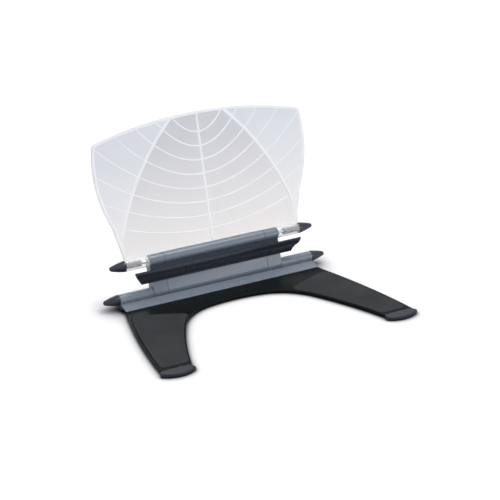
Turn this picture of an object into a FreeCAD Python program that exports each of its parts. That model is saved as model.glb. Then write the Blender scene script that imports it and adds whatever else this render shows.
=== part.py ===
import FreeCAD, Part
import math
import os

os.makedirs("parts", exist_ok=True)
doc = FreeCAD.newDocument("CopyHolder")
sheet = doc.addObject("Spreadsheet::Sheet", "Sizes")

# Driving dimensions in millimetres and degrees, grouped by the piece that they describe.
# The row frame has its origin on the desk, under the middle of the lower hinge, X to the right
# of someone who reads the page, Y away from them and Z up.
dimensions = {
    # base plate, a boomerang with two legs that reach forward
    "deskGap": 1.6,             # air under the base plate
    "baseThick": 4.0,
    "baseSkin": 2.2,            # top wall over the hollow underside
    "baseRim": 2.6,             # side wall round the hollow underside
    "ribPitch": 30.0,           # spacing of the stiffening ribs underneath
    "ribThick": 1.6,
    "baseRear": 11.0,           # rear edge behind the lower hinge
    "baseRearHalf": 148.0,
    "legTipX": 208.0,
    "legTipReach": 220.0,       # front end of a leg, ahead of the lower hinge
    "legOuterRadius": 1000.0,
    "archTop": 56.2,            # middle of the arch between the legs
    "archRadius": 253.0,
    "archTurn": 10.0,
    "bendRadius": 92.4,
    "bendTurn": 60.0,
    "legInnerRadius": 603.0,
    "legInnerTurn": 72.0,
    "legEndCrown": 1.0,         # how far the leg end bulges back under the foot cap
    # leg pads, let into the top of the legs
    "padThick": 1.4,
    "padDepth": 0.9,            # depth of the recess
    "padGap": 0.5,              # groove round the pad
    "padFrontGap": 2.2,
    "padFrontRecess": 0.88,     # how far the recess runs on ahead of the pad
    "padOuterMargin": 3.8,
    "padInnerMargin": 2.3,
    "padRearOuter": 41.5,       # where the rear edge starts, ahead of the lower hinge
    "padRearInner": 70.5,
    "padRearInnerX": 88.5,
    "padRearBulge": 3.0,
    "padFront": 212.4,
    "padCorner": 8.0,
    # foot caps
    "footGap": 1.5,             # air under a cap, taken up by its grip disc
    "footRise": 0.3,            # how far a cap stands above the base plate
    "footInnerX": 157.5,
    "footInnerReach": 229.5,
    "footNoseX": 187.0,
    "footNose": 238.0,
    "footOuterX": 212.8,
    "footOuterReach": 227.5,
    "footNoseRound": 2.2,
    "footInnerRound": 2.4,
    "footOuterRound": 4.0,
    "footSeam": 0.1,
    "tenonThick": 2.4,
    "tenonHalf": 13.0,
    "tenonReach": 233.0,
    "tenonGap": 0.1,
    # grip discs and strip
    "gripDepth": 0.6,
    "discRadius": 5.2,
    "discHalfSpacing": 189.0,
    "discReach": 230.0,
    "stripHalf": 120.0,
    "stripWidth": 16.0,
    # hinge rail
    "hingeRise": 9.4,           # lower hinge axis above the base plate
    "railHalf": 165.0,
    "railRadius": 8.2,
    "flangeReach": 24.9,
    "flangeEdge": 1.2,
    "flangeSlope": 12.4,
    "fluteRadius": 0.8,
    "heelReach": 11.5,
    "heelHeight": 2.2,
    "cradleGap": 0.6,           # air between the arm and the rail
    "cradleOpening": 0.62,      # how far the cradle opens towards the front, as a share of it
    # shafts, bushes, washers and friction clips
    "shaftRadius": 2.5,
    "shaftFit": 0.04,
    "bushRadius": 4.5,
    "bushLength": 14.0,
    "washerRadius": 6.5,
    "sideGap": 0.6,             # slot that a washer fills
    "washerPlay": 0.1,
    "clipWall": 0.9,
    "clipLength": 9.0,
    "clipTail": 1.6,            # how far its tail reaches into the saddle
    "clipPlay": 0.05,
    "clipMouth": 70.0,
    "clipHalfSpacing": 40.0,
    "saddleLength": 13.0,
    # end caps, both pairs
    "capRadius": 8.4,
    "capLength": 24.9,
    "capTipRadius": 3.8,
    "capTipTurn": 70.0,         # how far round its tip the ball of a cap runs
    "capBulge": 0.02,           # crown of a cap's side, as a share of its length
    "capEase": 0.5,
    "capRim": 2.2,
    "capSeam": 0.3,
    "plugRadius": 5.0,
    "plugFit": 0.02,
    "railPlugLength": 13.0,
    "knuckleWeb": 12.5,         # solid end of a knuckle, between the arm and a cap's plug
    "shaftSeat": 12.0,          # how far a shaft end reaches into its plug
    "splineCount": 10,
    "splineRadius": 0.7,
    "lugReach": 13.5,           # how far the lug of a rail cap reaches ahead of the hinge
    "lugDrop": 2.9,             # how far the lug stays under the flange's surface
    "lugDepth": 3.4,
    "lugTaper": 0.3,
    # arm
    "armHalf": 110.0,
    "armLength": 48.1,
    "armLean": 13.0,
    "armLowerRadius": 8.4,
    "armUpperRadius": 9.2,
    "armFrontSlope": 7.0,
    "armWall": 2.2,
    "coverHalf": 86.0,
    "coverSeam": 0.35,
    # ledge
    "ledgeTopHalf": 141.8,
    "ledgeMidHalf": 134.6,
    "ledgeBottomHalf": 128.3,
    "ledgeMidDrop": 1.5,        # how far the bend in its end lies under half height
    "ledgeEndBulge": 1.6,
    "ledgeBackHalf": 109.0,
    "ledgeBottom": 16.8,        # above the lower hinge, along the arm
    "ledgeSkirt": 1.5,
    "ogeeRadius": 14.75,
    "ogeeStart": 10.0,
    "ogeeSteep": 55.0,
    "ogeeEnd": 8.0,
    "lipWall": 2.3,
    "ledgeTop": 37.8,
    "ledgeBackTop": 37.2,
    "ledgeBackWall": 2.2,
    # back plate
    "plateLean": 14.3,
    "panelThick": 2.2,
    "panelFoot": 10.0,          # lower edge of the panel above the upper hinge
    "knuckleRadius": 8.5,
    "knuckleHalf": 148.5,
    "wingStart": 38.6,
    "plateHalf": 178.9,
    "plateWidestAt": 143.0,
    "plateSideRadius": 195.0,
    "plateTop": 207.8,
    "plateTopRadius": 671.0,
    "plateCorner": 9.0,
    "beadHeight": 0.9,
    "leafDepth": 0.4,           # how far the middle leaf lies under the wings
    "rimWidth": 4.8,
    "archLowX": 147.0,
    "archLowRise": 40.0,
    "archMidX": 104.5,
    "archMidRise": 131.0,
    "archHighX": 43.0,
    "archHighRise": 204.8,
    "archWidth": 5.0,
    "spineWidth": 3.6,
    "veinCount": 8,
    "veinTop": 176.6,
    "veinPitch": 21.1,
    "veinArchPitch": 26.7,      # spacing of the veins along an arch
    "veinArchStart": 4.5,
    "veinWidth": 2.4,
    # fasteners
    "screwRadius": 1.5,
    "screwHeadRadius": 2.8,
    "screwHeadHeight": 1.4,
    "driveShare": 0.6,          # width and depth of the drive, as a share of the screw's
    "screwPlay": 0.15,
    "railScrewCount": 6,
    "railScrewPitch": 56.0,
    "railScrewReach": 14.0,
    "railScrewBite": 2.6,
    "coverScrewCount": 3,
    "coverScrewPitch": 68.0,
    "coverScrewRise": 22.0,
    "coverScrewBite": 6.0,
    "coverPostRadius": 3.4,
    "ledgeScrewCount": 4,
    "ledgeScrewPitch": 50.0,
    "ledgeScrewRise": 4.4,      # above the ledge's lower edge
    "ledgeScrewBite": 2.2,
}

sheet.set("A1", "Driving dimensions (mm and degrees)")
for row, (alias, value) in enumerate(dimensions.items(), start=2):
    sheet.set(f"A{row}", alias)
    sheet.set(f"B{row}", str(value))
    sheet.setAlias(f"B{row}", alias)
doc.recompute()


class Size:
    """Reads a driving dimension back from the sheet, as size.name."""

    def __getattr__(self, alias):
        return float(sheet.get(alias))


size = Size()


# Places that several pieces share

baseTop = size.deskGap + size.baseThick
lowerAxisZ = baseTop + size.hingeRise
lean = math.radians(size.armLean)
upperAxisY = size.armLength * math.sin(lean)
upperAxisZ = lowerAxisZ + size.armLength * math.cos(lean)
capBase = size.railHalf + size.capSeam
plateCapBase = size.knuckleHalf + size.capSeam
platePlugLength = size.knuckleHalf - size.armHalf - size.knuckleWeb
platePlug = "(Sizes.knuckleHalf - Sizes.armHalf - Sizes.knuckleWeb)"


def vec(x, y, z=0.0):
    return FreeCAD.Vector(x, y, z)


def polar(centre, radius, angle):
    """Point at an angle in degrees, anticlockwise from the first axis."""
    turn = math.radians(angle)
    return vec(centre[0] + radius * math.cos(turn), centre[1] + radius * math.sin(turn))


alongX = FreeCAD.Rotation(vec(0, 1, 0), 90)
againstX = FreeCAD.Rotation(vec(0, 1, 0), -90)
upwards = FreeCAD.Rotation()
forward = FreeCAD.Rotation(vec(1, 0, 0), 90)
rearward = FreeCAD.Rotation(vec(1, 0, 0), -90)
planes = {"XY": upwards, "YZ": FreeCAD.Rotation(vec(1, 1, 1), 120), "XZ": forward}
atDesk = FreeCAD.Placement()
onArm = FreeCAD.Placement(vec(0, 0, lowerAxisZ), FreeCAD.Rotation(vec(1, 0, 0), -size.armLean))
onPlate = FreeCAD.Placement(vec(0, upperAxisY, upperAxisZ),
                            FreeCAD.Rotation(vec(1, 0, 0), -size.plateLean))
pieces = []


def finish(piece, label, place=atDesk):
    """Names a finished sub-part and puts it in the row frame."""
    piece.Label = label
    piece.Placement = place.multiply(piece.Placement)
    pieces.append(piece)
    return piece


# Small helpers for sketches, solids and booleans

def line(start, end):
    return Part.LineSegment(start, end)


def arc(start, middle, end):
    return Part.Arc(start, middle, end)


def loop(points):
    """Straight edges through the points and back to the first."""
    return [line(a, b) for a, b in zip(points, points[1:] + points[:1])]


def slab(x0, x1, y0, y1):
    return loop([vec(x0, y0), vec(x1, y0), vec(x1, y1), vec(x0, y1)])


def mirrored(curves):
    """The same curves on the other side of the second axis, run backwards."""
    flipped = []
    for curve in reversed(curves):
        ends = [curve.value(curve.LastParameter), curve.value(curve.FirstParameter)]
        ends = [vec(-p.x, p.y) for p in ends]
        if curve.TypeId == "Part::GeomLineSegment":
            flipped.append(line(ends[0], ends[1]))
        else:
            middle = curve.value((curve.FirstParameter + curve.LastParameter) / 2)
            flipped.append(arc(ends[0], vec(-middle.x, middle.y), ends[1]))
    return flipped


def drive(item, name, amount):
    """Sets a size of an object to a number, or to an expression on the sheet."""
    if isinstance(amount, str):
        item.setExpression(name, amount)
    else:
        setattr(item, name, amount)


def sketch(name, curves, plane="XY", level=0.0):
    """A sketch parallel to a plane of the piece, level away along its normal."""
    drawing = doc.addObject("Sketcher::SketchObject", name)
    drawing.addGeometry(curves, False)
    turn = planes[plane]
    drawing.Placement = FreeCAD.Placement(turn.multVec(vec(0, 0, level)), turn)
    return drawing


def prism(name, curves, plane, level, length, centred=False):
    """Extrudes an outline square to its plane, from its level up or to both sides of it."""
    solid = doc.addObject("Part::Extrusion", name)
    solid.Base = sketch(name + "Sketch", curves, plane, level)
    solid.DirMode = "Normal"
    solid.Solid = True
    solid.Symmetric = centred
    drive(solid, "LengthFwd", length)
    return solid


def rod(name, radius, length, start, turn=alongX):
    """A cylinder from its start, along X unless it is turned."""
    solid = doc.addObject("Part::Cylinder", name)
    drive(solid, "Radius", radius)
    drive(solid, "Height", length)
    solid.Placement = FreeCAD.Placement(start, turn)
    return solid


def fused(name, solids):
    joined = doc.addObject("Part::MultiFuse", name)
    joined.Shapes = solids
    joined.Refine = True
    return joined


def grouped(name, solids):
    group = doc.addObject("Part::Compound", name)
    group.Links = solids
    return group


def cut(name, solid, tools):
    """Takes the tools out of the solid, which has to lose volume."""
    result = doc.addObject("Part::Cut", name)
    result.Base = solid
    result.Tool = tools[0] if len(tools) == 1 else grouped(name + "Tools", tools)
    return result


def common(name, solid, other):
    result = doc.addObject("Part::Common", name)
    result.Base = solid
    result.Tool = other
    return result


def rounded(name, solid, radius, wanted):
    """Fillets the edges for which wanted(edge) is true."""
    doc.recompute()
    result = doc.addObject("Part::Fillet", name)
    result.Base = solid
    numbered = enumerate(solid.Shape.Edges, start=1)
    result.Edges = [(index, radius, radius) for index, edge in numbered if wanted(edge)]
    return result


def spread(count, pitch):
    """Evenly spaced places along X, the same to both sides of the middle."""
    return [(index - (count - 1) / 2) * pitch for index in range(int(count))]


def circleHit(first, second, near):
    """The crossing of two curves that lies nearest a point."""
    hits = [vec(p.X, p.Y) for p in first.intersect(second)]
    return min(hits, key=lambda p: p.distanceToPoint(near))


# Outline of the base plate

def legOuterCircle(inset=0.0):
    """Circle of a leg's outer edge, from the rail's corner to the leg tip."""
    rear = vec(size.railHalf, -size.flangeReach)
    tip = vec(size.legTipX, -size.legTipReach)
    chord = tip - rear
    half = chord.Length / 2
    side = vec(chord.y, -chord.x).normalize()
    inward = math.sqrt(size.legOuterRadius ** 2 - half ** 2)
    centre = (rear + tip) * 0.5 + side * inward
    return Part.Circle(centre, vec(0, 0, 1), size.legOuterRadius - inset)


def archCentres():
    """Centres of the three tangent arcs between the legs, and where they change over."""
    top = vec(0, -size.archTop - size.archRadius)
    first = polar(top, size.archRadius, 90 - size.archTurn)
    bend = first + (top - first).normalize() * size.bendRadius
    second = polar(bend, size.bendRadius, 90 - size.bendTurn)
    leg = second + (bend - second).normalize() * size.legInnerRadius
    third = polar(leg, size.legInnerRadius, 90 - size.legInnerTurn)
    return top, bend, leg, first, second, third


def legEndArc():
    """Curved end of a leg, which the foot cap fits over."""
    third = archCentres()[5]
    tip = vec(size.legTipX, -size.legTipReach)
    middle = (third + tip) * 0.5 + vec(0, size.legEndCrown)
    return arc(tip, middle, third)


def baseOutline():
    top, bend, leg, first, second, third = archCentres()
    corner = vec(size.railHalf, -size.flangeReach)
    tip = vec(size.legTipX, -size.legTipReach)
    outer = legOuterCircle()
    outerMiddle = outer.value((outer.parameter(corner) + outer.parameter(tip)) / 2)
    if outerMiddle.distanceToPoint(corner) > size.legTipReach:
        outerMiddle = outer.Center * 2 - outerMiddle
    rearCorner = vec(size.baseRearHalf, size.baseRear)
    notch = vec(size.baseRearHalf, -size.flangeReach * 0.5)
    right = [
        line(vec(0, size.baseRear), rearCorner),
        line(rearCorner, notch),
        line(notch, corner),
        arc(corner, outerMiddle, tip),
        legEndArc(),
        arc(third, polar(leg, size.legInnerRadius, 90 - (size.bendTurn + size.legInnerTurn) / 2), second),
        arc(second, polar(bend, size.bendRadius, 90 - (size.archTurn + size.bendTurn) / 2), first),
        arc(first, polar(top, size.archRadius, 90 - size.archTurn / 2), vec(0, -size.archTop)),
    ]
    return right + mirrored(right)


def padOutline(grow=0.0):
    """A leg pad, parallel to the leg's edges, with a bowed rear edge."""
    bendCentre, legCentre = archCentres()[1:3]
    outer = legOuterCircle(size.padOuterMargin - grow)
    bendEdge = Part.Circle(bendCentre, vec(0, 0, 1), size.bendRadius + size.padInnerMargin - grow)
    legEdge = Part.Circle(legCentre, vec(0, 0, 1), size.legInnerRadius + size.padInnerMargin - grow)
    frontY = -size.padFront - (size.padFrontRecess if grow else 0.0)
    front = line(vec(0, frontY), vec(2 * size.legTipX, frontY))
    rearY = -size.padRearOuter + grow
    rearLevel = line(vec(0, rearY), vec(2 * size.legTipX, rearY))
    outerFront = circleHit(outer, front, vec(size.legTipX, frontY))
    outerRear = circleHit(outer, rearLevel, vec(size.railHalf, rearY))
    innerFront = circleHit(legEdge, front, vec(size.footInnerX, frontY))
    rearGuess = vec(size.padRearInnerX, -size.padRearInner)
    innerRear = bendEdge.value(bendEdge.parameter(rearGuess))
    change = bendEdge.value(bendEdge.parameter(archCentres()[4]))
    rearMiddle = (innerRear + outerRear) * 0.5 + vec(0, size.padRearBulge)
    outerMiddle = outer.value(outer.parameter((outerFront + outerRear) * 0.5))
    bendMiddle = bendEdge.value(bendEdge.parameter((innerRear + change) * 0.5))
    legMiddle = legEdge.value(legEdge.parameter((change + innerFront) * 0.5))
    return [
        arc(outerRear, outerMiddle, outerFront),
        line(outerFront, innerFront),
        arc(innerFront, legMiddle, change),
        arc(change, bendMiddle, innerRear),
        arc(innerRear, rearMiddle, outerRear),
    ]


def upright(edge):
    """True for a straight edge along Z."""
    return edge.Curve.TypeId == "Part::GeomLine" and abs(edge.tangentAt(edge.FirstParameter).z) > 0.99


def uprightAt(x, y):
    """A test for the upright edge at a place in plan."""
    def found(edge):
        middle = edge.CenterOfMass
        return upright(edge) and math.hypot(middle.x - x, middle.y - y) < 0.1
    return found


def padCornerEdge(edge):
    """An upright edge of a pad, but not the smooth change along its inner side."""
    middle = edge.CenterOfMass
    change = archCentres()[4]
    return upright(edge) and math.hypot(abs(middle.x) - change.x, middle.y - change.y) > size.padCorner * 2


# Fasteners

def screw(name, seat, turn, bite):
    """A pan-head screw: seat is the middle of the face under its head, turn points its shank."""
    head = rod(name + "Head", "Sizes.screwHeadRadius", "Sizes.screwHeadHeight", seat,
               turn * FreeCAD.Rotation(vec(1, 0, 0), 180))
    shank = rod(name + "Shank", "Sizes.screwRadius", bite, seat, turn)
    driveDepth = rod(name + "Drive", "Sizes.screwRadius * Sizes.driveShare",
                     "Sizes.screwHeadHeight * Sizes.driveShare",
                     seat - turn.multVec(vec(0, 0, size.screwHeadHeight)), turn)
    return cut(name, fused(name + "Blank", [head, shank]), [driveDepth])


def railScrewSpots():
    return [(x, -size.railScrewReach) for x in spread(size.railScrewCount, size.railScrewPitch)]


def armFrontAt(height, inset=0.0):
    """How far behind the arm's middle plane its front face lies, at a height along the arm."""
    slope = math.radians(size.armFrontSlope)
    radius = size.armLowerRadius - inset
    return -radius * math.cos(slope) + (height - radius * math.sin(slope)) * math.tan(slope)


def baseShell():
    plate = prism("basePlate", baseOutline(), "XY", size.deskGap, "Sizes.baseThick")
    hollowDepth = "Sizes.baseThick - Sizes.baseSkin"
    inner = doc.addObject("Part::Offset2D", "baseHollowEdge")
    inner.Source = sketch("baseHollowSketch", baseOutline(), "XY", size.deskGap)
    inner.setExpression("Value", "-Sizes.baseRim")
    hollow = doc.addObject("Part::Extrusion", "baseHollow")
    hollow.Base = inner
    hollow.DirMode = "Custom"
    hollow.Dir = vec(0, 0, 1)
    hollow.Solid = True
    hollow.setExpression("LengthFwd", hollowDepth)
    ribs = []
    count = int(2 * size.legTipX / size.ribPitch) + 1
    for index in range(count):
        x = (index - (count - 1) / 2) * size.ribPitch
        ribs.append(prism(f"baseRib{index}", slab(x - size.ribThick / 2, x + size.ribThick / 2,
                                                  -size.footNose, size.baseRear + size.baseRim),
                          "XY", size.deskGap, hollowDepth))
    strip = prism("stripLand", slab(-size.stripHalf - size.baseRim, size.stripHalf + size.baseRim,
                                    -size.stripWidth / 2 - size.ribThick, size.baseRear),
                  "XY", size.deskGap, hollowDepth)
    land = []
    for side in (-1, 1):
        middle = side * legEndMiddle()
        half = size.tenonHalf + size.baseRim * 3
        outline = slab(middle - half, middle + half, -size.legTipReach, -size.padFront + size.baseRim)
        land.append(prism(f"footLand{side + 1}", outline, "XY", size.deskGap, hollowDepth))
    pocket = cut("basePocket", hollow, ribs + [strip] + land)
    recesses = []
    edge = padOutline(size.padGap)
    for name, curves in (("Right", edge), ("Left", mirrored(edge))):
        recess = prism("padRecess" + name, curves, "XY", baseTop - size.padDepth, "2 * Sizes.padDepth")
        corner = size.padCorner + size.padGap
        recesses.append(rounded("padRecessCorners" + name, recess, corner, padCornerEdge))
    holes = [rod(f"railScrewHole{i}", "Sizes.screwRadius + Sizes.screwPlay", "Sizes.baseThick * 2",
                 vec(x, y, 0), upwards) for i, (x, y) in enumerate(railScrewSpots())]
    wells = [rod(f"railScrewWell{i}", "Sizes.screwHeadRadius + Sizes.screwPlay * 2",
                 "Sizes.deskGap + Sizes.baseThick - Sizes.baseSkin", vec(x, y, 0), upwards)
             for i, (x, y) in enumerate(railScrewSpots())]
    stripSeat = prism("stripSeat", slab(-size.stripHalf - size.padGap / 2, size.stripHalf + size.padGap / 2,
                                        -size.stripWidth / 2 - size.padGap / 2,
                                        size.stripWidth / 2 + size.padGap / 2),
                      "XY", size.deskGap, "Sizes.gripDepth")
    shell = cut("baseShellBare", plate, [pocket] + recesses + holes + wells + [stripSeat])
    tenons = []
    for side in (-1, 1):
        tenons.append(prism(f"footTenon{side + 1}", tenonSlab(side, 0.0), "XY", tenonLevel(),
                            "Sizes.tenonThick"))
    return finish(fused("baseShell", [shell] + tenons), "base_shell")


def tenonLevel():
    return size.deskGap + (size.baseThick - size.tenonThick) / 2


def legEndMiddle():
    return (archCentres()[5].x + size.legTipX) / 2


def tenonSlab(side, grow):
    """Plan of the tongue that holds a foot cap."""
    middle = side * legEndMiddle()
    return slab(middle - size.tenonHalf - grow, middle + size.tenonHalf + grow,
                -size.tenonReach - grow, -size.padFront - size.padFrontGap)


def legPads():
    for side, curves in (("right", padOutline()), ("left", mirrored(padOutline()))):
        pad = prism("pad" + side, curves, "XY", baseTop - size.padDepth, "Sizes.padThick")
        pad = rounded("padCorners" + side, pad, size.padCorner, padCornerEdge)
        finish(pad, "leg_pad_" + side)


def footOutline():
    """Pointed plan of a foot cap, whose rear edge follows the leg end."""
    end = legEndArc()
    seam = vec(0, -size.footSeam)
    tip = end.StartPoint + seam
    heel = end.EndPoint + seam
    middle = end.value((end.FirstParameter + end.LastParameter) / 2) + seam
    inner = vec(size.footInnerX, -size.footInnerReach)
    outer = vec(size.footOuterX, -size.footOuterReach)
    return [
        arc(heel, middle, tip),
        line(tip, outer),
        arc(outer, vec(size.footNoseX, -size.footNose), inner),
        line(inner, heel),
    ]


def footCaps():
    top = baseTop + size.footRise
    height = "Sizes.deskGap + Sizes.baseThick + Sizes.footRise - Sizes.footGap"
    for side, curves, sign in (("right", footOutline(), 1), ("left", mirrored(footOutline()), -1)):
        blank = prism("foot" + side, curves, "XY", size.footGap, height)

        blank = rounded("footInner" + side, blank, size.footInnerRound,
                        uprightAt(sign * size.footInnerX, -size.footInnerReach))
        blank = rounded("footOuter" + side, blank, size.footOuterRound,
                        uprightAt(sign * size.footOuterX, -size.footOuterReach))

        def noseEdge(edge):
            middle = edge.valueAt((edge.FirstParameter + edge.LastParameter) / 2)
            return edge.BoundBox.ZMin > top - 0.01 and middle.y < -size.footOuterReach - size.footOuterRound

        blank = rounded("footNose" + side, blank, size.footNoseRound, noseEdge)
        mortise = prism("mortise" + side, tenonSlab(sign, size.tenonGap), "XY", tenonLevel() - size.tenonGap,
                        "Sizes.tenonThick + 2 * Sizes.tenonGap")
        seat = rod("discSeat" + side, "Sizes.discRadius + Sizes.tenonGap", "Sizes.footGap + Sizes.gripDepth",
                   vec(sign * size.discHalfSpacing, -size.discReach, 0), upwards)
        finish(cut("footCap" + side, blank, [mortise, seat]), "foot_cap_" + side)


def grips():
    discs = [rod(f"gripDisc{i}", "Sizes.discRadius", "Sizes.footGap + Sizes.gripDepth",
                 vec(x, -size.discReach, 0), upwards)
             for i, x in enumerate((-size.discHalfSpacing, size.discHalfSpacing))]
    finish(grouped("gripDiscs", discs), "foot_grip_discs")
    half = size.stripWidth / 2
    strip = prism("gripStrip", slab(-size.stripHalf, size.stripHalf, -half, half),
                  "XY", 0.0, "Sizes.deskGap + Sizes.gripDepth")
    finish(strip, "rear_grip_strip")


# Hinge rail

def flangeAt(reach):
    """Height of the flange's upper face at a distance ahead of the lower hinge."""
    return baseTop + size.flangeEdge + (size.flangeReach - reach) * math.tan(math.radians(size.flangeSlope))


def flangeMeet():
    """Where the flange's upper face runs into the knuckle."""
    far = vec(-size.flangeReach, flangeAt(size.flangeReach))
    near = vec(0, flangeAt(0))
    knuckle = Part.Circle(vec(0, lowerAxisZ), vec(0, 0, 1), size.railRadius)
    return circleHit(knuckle, line(far, near), far)


def railSection():
    meet = flangeMeet()
    centre = vec(0, lowerAxisZ)
    heelTop = vec(size.railRadius, baseTop + size.heelHeight + size.heelReach - size.railRadius)
    topPoint = polar(centre, size.railRadius, 100)
    side = vec(size.railRadius, lowerAxisZ)
    return [
        line(vec(-size.flangeReach, baseTop), vec(-size.flangeReach, flangeAt(size.flangeReach))),
        line(vec(-size.flangeReach, flangeAt(size.flangeReach)), meet),
        arc(meet, topPoint, side),
        line(side, heelTop),
        line(heelTop, vec(size.heelReach, baseTop + size.heelHeight)),
        line(vec(size.heelReach, baseTop + size.heelHeight), vec(size.heelReach, baseTop)),
        line(vec(size.heelReach, baseTop), vec(-size.flangeReach, baseTop)),
    ]


def hingeRail():
    bar = prism("railBar", railSection(), "YZ", 0.0, "2 * Sizes.railHalf", centred=True)

    def flangeFront(edge):
        box = edge.BoundBox
        return box.YMax < -size.flangeReach + 0.01 and box.ZMin > baseTop + 0.01 and box.XLength > 1

    bar = rounded("railEased", bar, size.flangeEdge * 0.5, flangeFront)
    span = "2 * (Sizes.armHalf + Sizes.sideGap)"
    half = size.armHalf + size.sideGap
    cradleRadius = size.armLowerRadius + size.cradleGap
    cradle = rod("cradle", "Sizes.armLowerRadius + Sizes.cradleGap", span, vec(-half, 0, lowerAxisZ))
    opening = cradleRadius * size.cradleOpening
    window = prism("cradleWindow", slab(-opening, cradleRadius, baseTop - 1, lowerAxisZ),
                   "YZ", 0.0, span, centred=True)
    above = prism("cradleAbove", slab(-cradleRadius, cradleRadius + size.heelReach, lowerAxisZ,
                                      lowerAxisZ + 2 * size.railRadius), "YZ", 0.0, span, centred=True)
    bore = rod("railBore", "Sizes.shaftRadius + Sizes.shaftFit", "2 * Sizes.railHalf + 2",
               vec(-size.railHalf - 1, 0, lowerAxisZ))
    sockets = [rod("railSocketRight", "Sizes.plugRadius + Sizes.plugFit", "Sizes.railPlugLength + 2",
                   vec(size.railHalf - size.railPlugLength, 0, lowerAxisZ)),
               rod("railSocketLeft", "Sizes.plugRadius + Sizes.plugFit", "Sizes.railPlugLength + 2",
                   vec(-size.railHalf - 2, 0, lowerAxisZ))]
    meet = flangeMeet()
    flute = rod("railFlute", "Sizes.fluteRadius", "2 * Sizes.railHalf + 2",
                vec(-size.railHalf - 1, meet.x, meet.y))
    pilots = [rod(f"railPilot{i}", "Sizes.screwRadius", "Sizes.railScrewBite",
                  vec(x, y, baseTop), upwards) for i, (x, y) in enumerate(railScrewSpots())]
    rail = cut("hingeRail", bar, [cradle, window, above, bore] + sockets + [flute] + pilots)
    finish(rail, "hinge_rail")


def railScrews():
    seat = baseTop - size.baseSkin
    bite = "Sizes.baseSkin + Sizes.railScrewBite"
    screws = [screw(f"railScrew{i}", vec(x, y, seat), upwards, bite)
              for i, (x, y) in enumerate(railScrewSpots())]
    finish(grouped("railScrews", screws), "rail_screws")


# End caps, which are the same bullet on every rod end but for their plugs

def bulletBody(name):
    """A bullet along X with its flat end at the origin of its own frame."""
    body = doc.addObject("PartDesign::Body", name)
    plane = next(f for f in body.Origin.OriginFeatures if f.Role == "XZ_Plane")
    drawing = body.newObject("Sketcher::SketchObject", name + "Sketch")
    drawing.AttachmentSupport = [(plane, "")]
    drawing.MapMode = "FlatFace"
    ball = (size.capLength - size.capTipRadius, 0)
    nose = polar(ball, size.capTipRadius, size.capTipTurn)
    rim = vec(size.capRim, size.capRadius)
    bulge = vec(nose.y - rim.y, rim.x - nose.x) * -size.capBulge
    flat = size.capTipRadius * 0.1
    tip = vec(size.capLength, flat)
    drawing.addGeometry([
        line(vec(0, 0), vec(0, size.capRadius - size.capEase)),
        line(vec(0, size.capRadius - size.capEase), vec(size.capEase, size.capRadius)),
        line(vec(size.capEase, size.capRadius), rim),
        arc(rim, (nose + rim) * 0.5 + bulge, nose),
        arc(nose, polar(ball, size.capTipRadius, size.capTipTurn / 2), tip),
        line(tip, vec(size.capLength, 0)),
        line(vec(size.capLength, 0), vec(0, 0)),
    ], False)
    turn = body.newObject("PartDesign::Revolution", name + "Turn")
    turn.Profile = drawing
    turn.ReferenceAxis = (drawing, ["H_Axis"])
    turn.Angle = 360
    return body


def capPlug(name, length, splined):
    """The plug behind a cap, along -X, with the hole for the shaft end."""
    plug = rod(name, "Sizes.plugRadius", length, vec(0, 0, 0), againstX)
    if not splined:
        return plug
    flutes = []
    for index in range(int(size.splineCount)):
        spot = polar((0, 0), size.plugRadius, index * 360 / size.splineCount)
        flutes.append(rod(f"{name}Flute{index}", "Sizes.splineRadius", length,
                          vec(-size.capRim, spot.x, spot.y), againstX))
    return cut(name + "Splined", plug, flutes)


def shaftHole(name, length):
    return rod(name, "Sizes.shaftRadius + Sizes.shaftFit", "Sizes.shaftSeat",
               vec(-length, 0, 0), alongX)


def railCaps():
    for side, sign in (("right", 1), ("left", -1)):
        name = "railCap" + side
        lugTop = flangeAt(size.lugReach) - size.lugDrop - lowerAxisZ
        lugRoot = flangeAt(size.capRadius) - size.lugDrop - lowerAxisZ
        lug = prism(name + "Lug", loop([
            vec(0, 0),
            vec(-size.capRadius, lugRoot),
            vec(-size.lugReach, lugTop),
            vec(-size.lugReach + size.lugDepth * size.lugTaper, lugTop - size.lugDepth),
            vec(-size.capRadius * size.lugTaper, lugRoot - size.lugDepth),
        ]), "YZ", 0.0, "Sizes.capRim")
        plug = capPlug(name + "Plug", "Sizes.railPlugLength + Sizes.capSeam", False)
        blank = fused(name + "Blank", [bulletBody(name + "Bullet"), lug, plug])
        cap = cut(name, blank, [shaftHole(name + "Hole", size.railPlugLength + size.capSeam)])
        placeCap(cap, "rail_cap_" + side, sign, capBase, vec(0, 0, lowerAxisZ), 0.0)


def placeCap(cap, label, sign, base, axis, tilt):
    """Sets a cap on its rod end: the left one is the mirror image of the right one."""
    if sign < 0:
        flip = doc.addObject("Part::Mirroring", cap.Name + "Mirror")
        flip.Source = cap
        flip.Normal = vec(1, 0, 0)
        cap = flip
    turn = FreeCAD.Rotation(vec(1, 0, 0), -tilt)
    finish(cap, label, FreeCAD.Placement(axis + vec(sign * base, 0, 0), turn))


def lowerShaft():
    reach = "2 * (Sizes.railHalf - Sizes.railPlugLength + Sizes.shaftSeat - Sizes.washerPlay)"
    half = size.railHalf - size.railPlugLength + size.shaftSeat - size.washerPlay
    finish(rod("lowerShaft", "Sizes.shaftRadius", reach, vec(-half, 0, lowerAxisZ)), "lower_shaft")


def washerPair(name):
    """One washer in each slot between the arm and its neighbour."""
    made = []
    for index, start in enumerate((-size.armHalf - size.sideGap + size.washerPlay / 2,
                                   size.armHalf + size.washerPlay / 2)):
        disc = rod(f"{name}Disc{index}", "Sizes.washerRadius", "Sizes.sideGap - Sizes.washerPlay",
                   vec(start, 0, 0))
        hole = rod(f"{name}Hole{index}", "Sizes.shaftRadius + Sizes.shaftFit", "Sizes.sideGap * 3",
                   vec(start - size.sideGap, 0, 0))
        made.append(cut(f"{name}{index}", disc, [hole]))
    return grouped(name, made)


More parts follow.
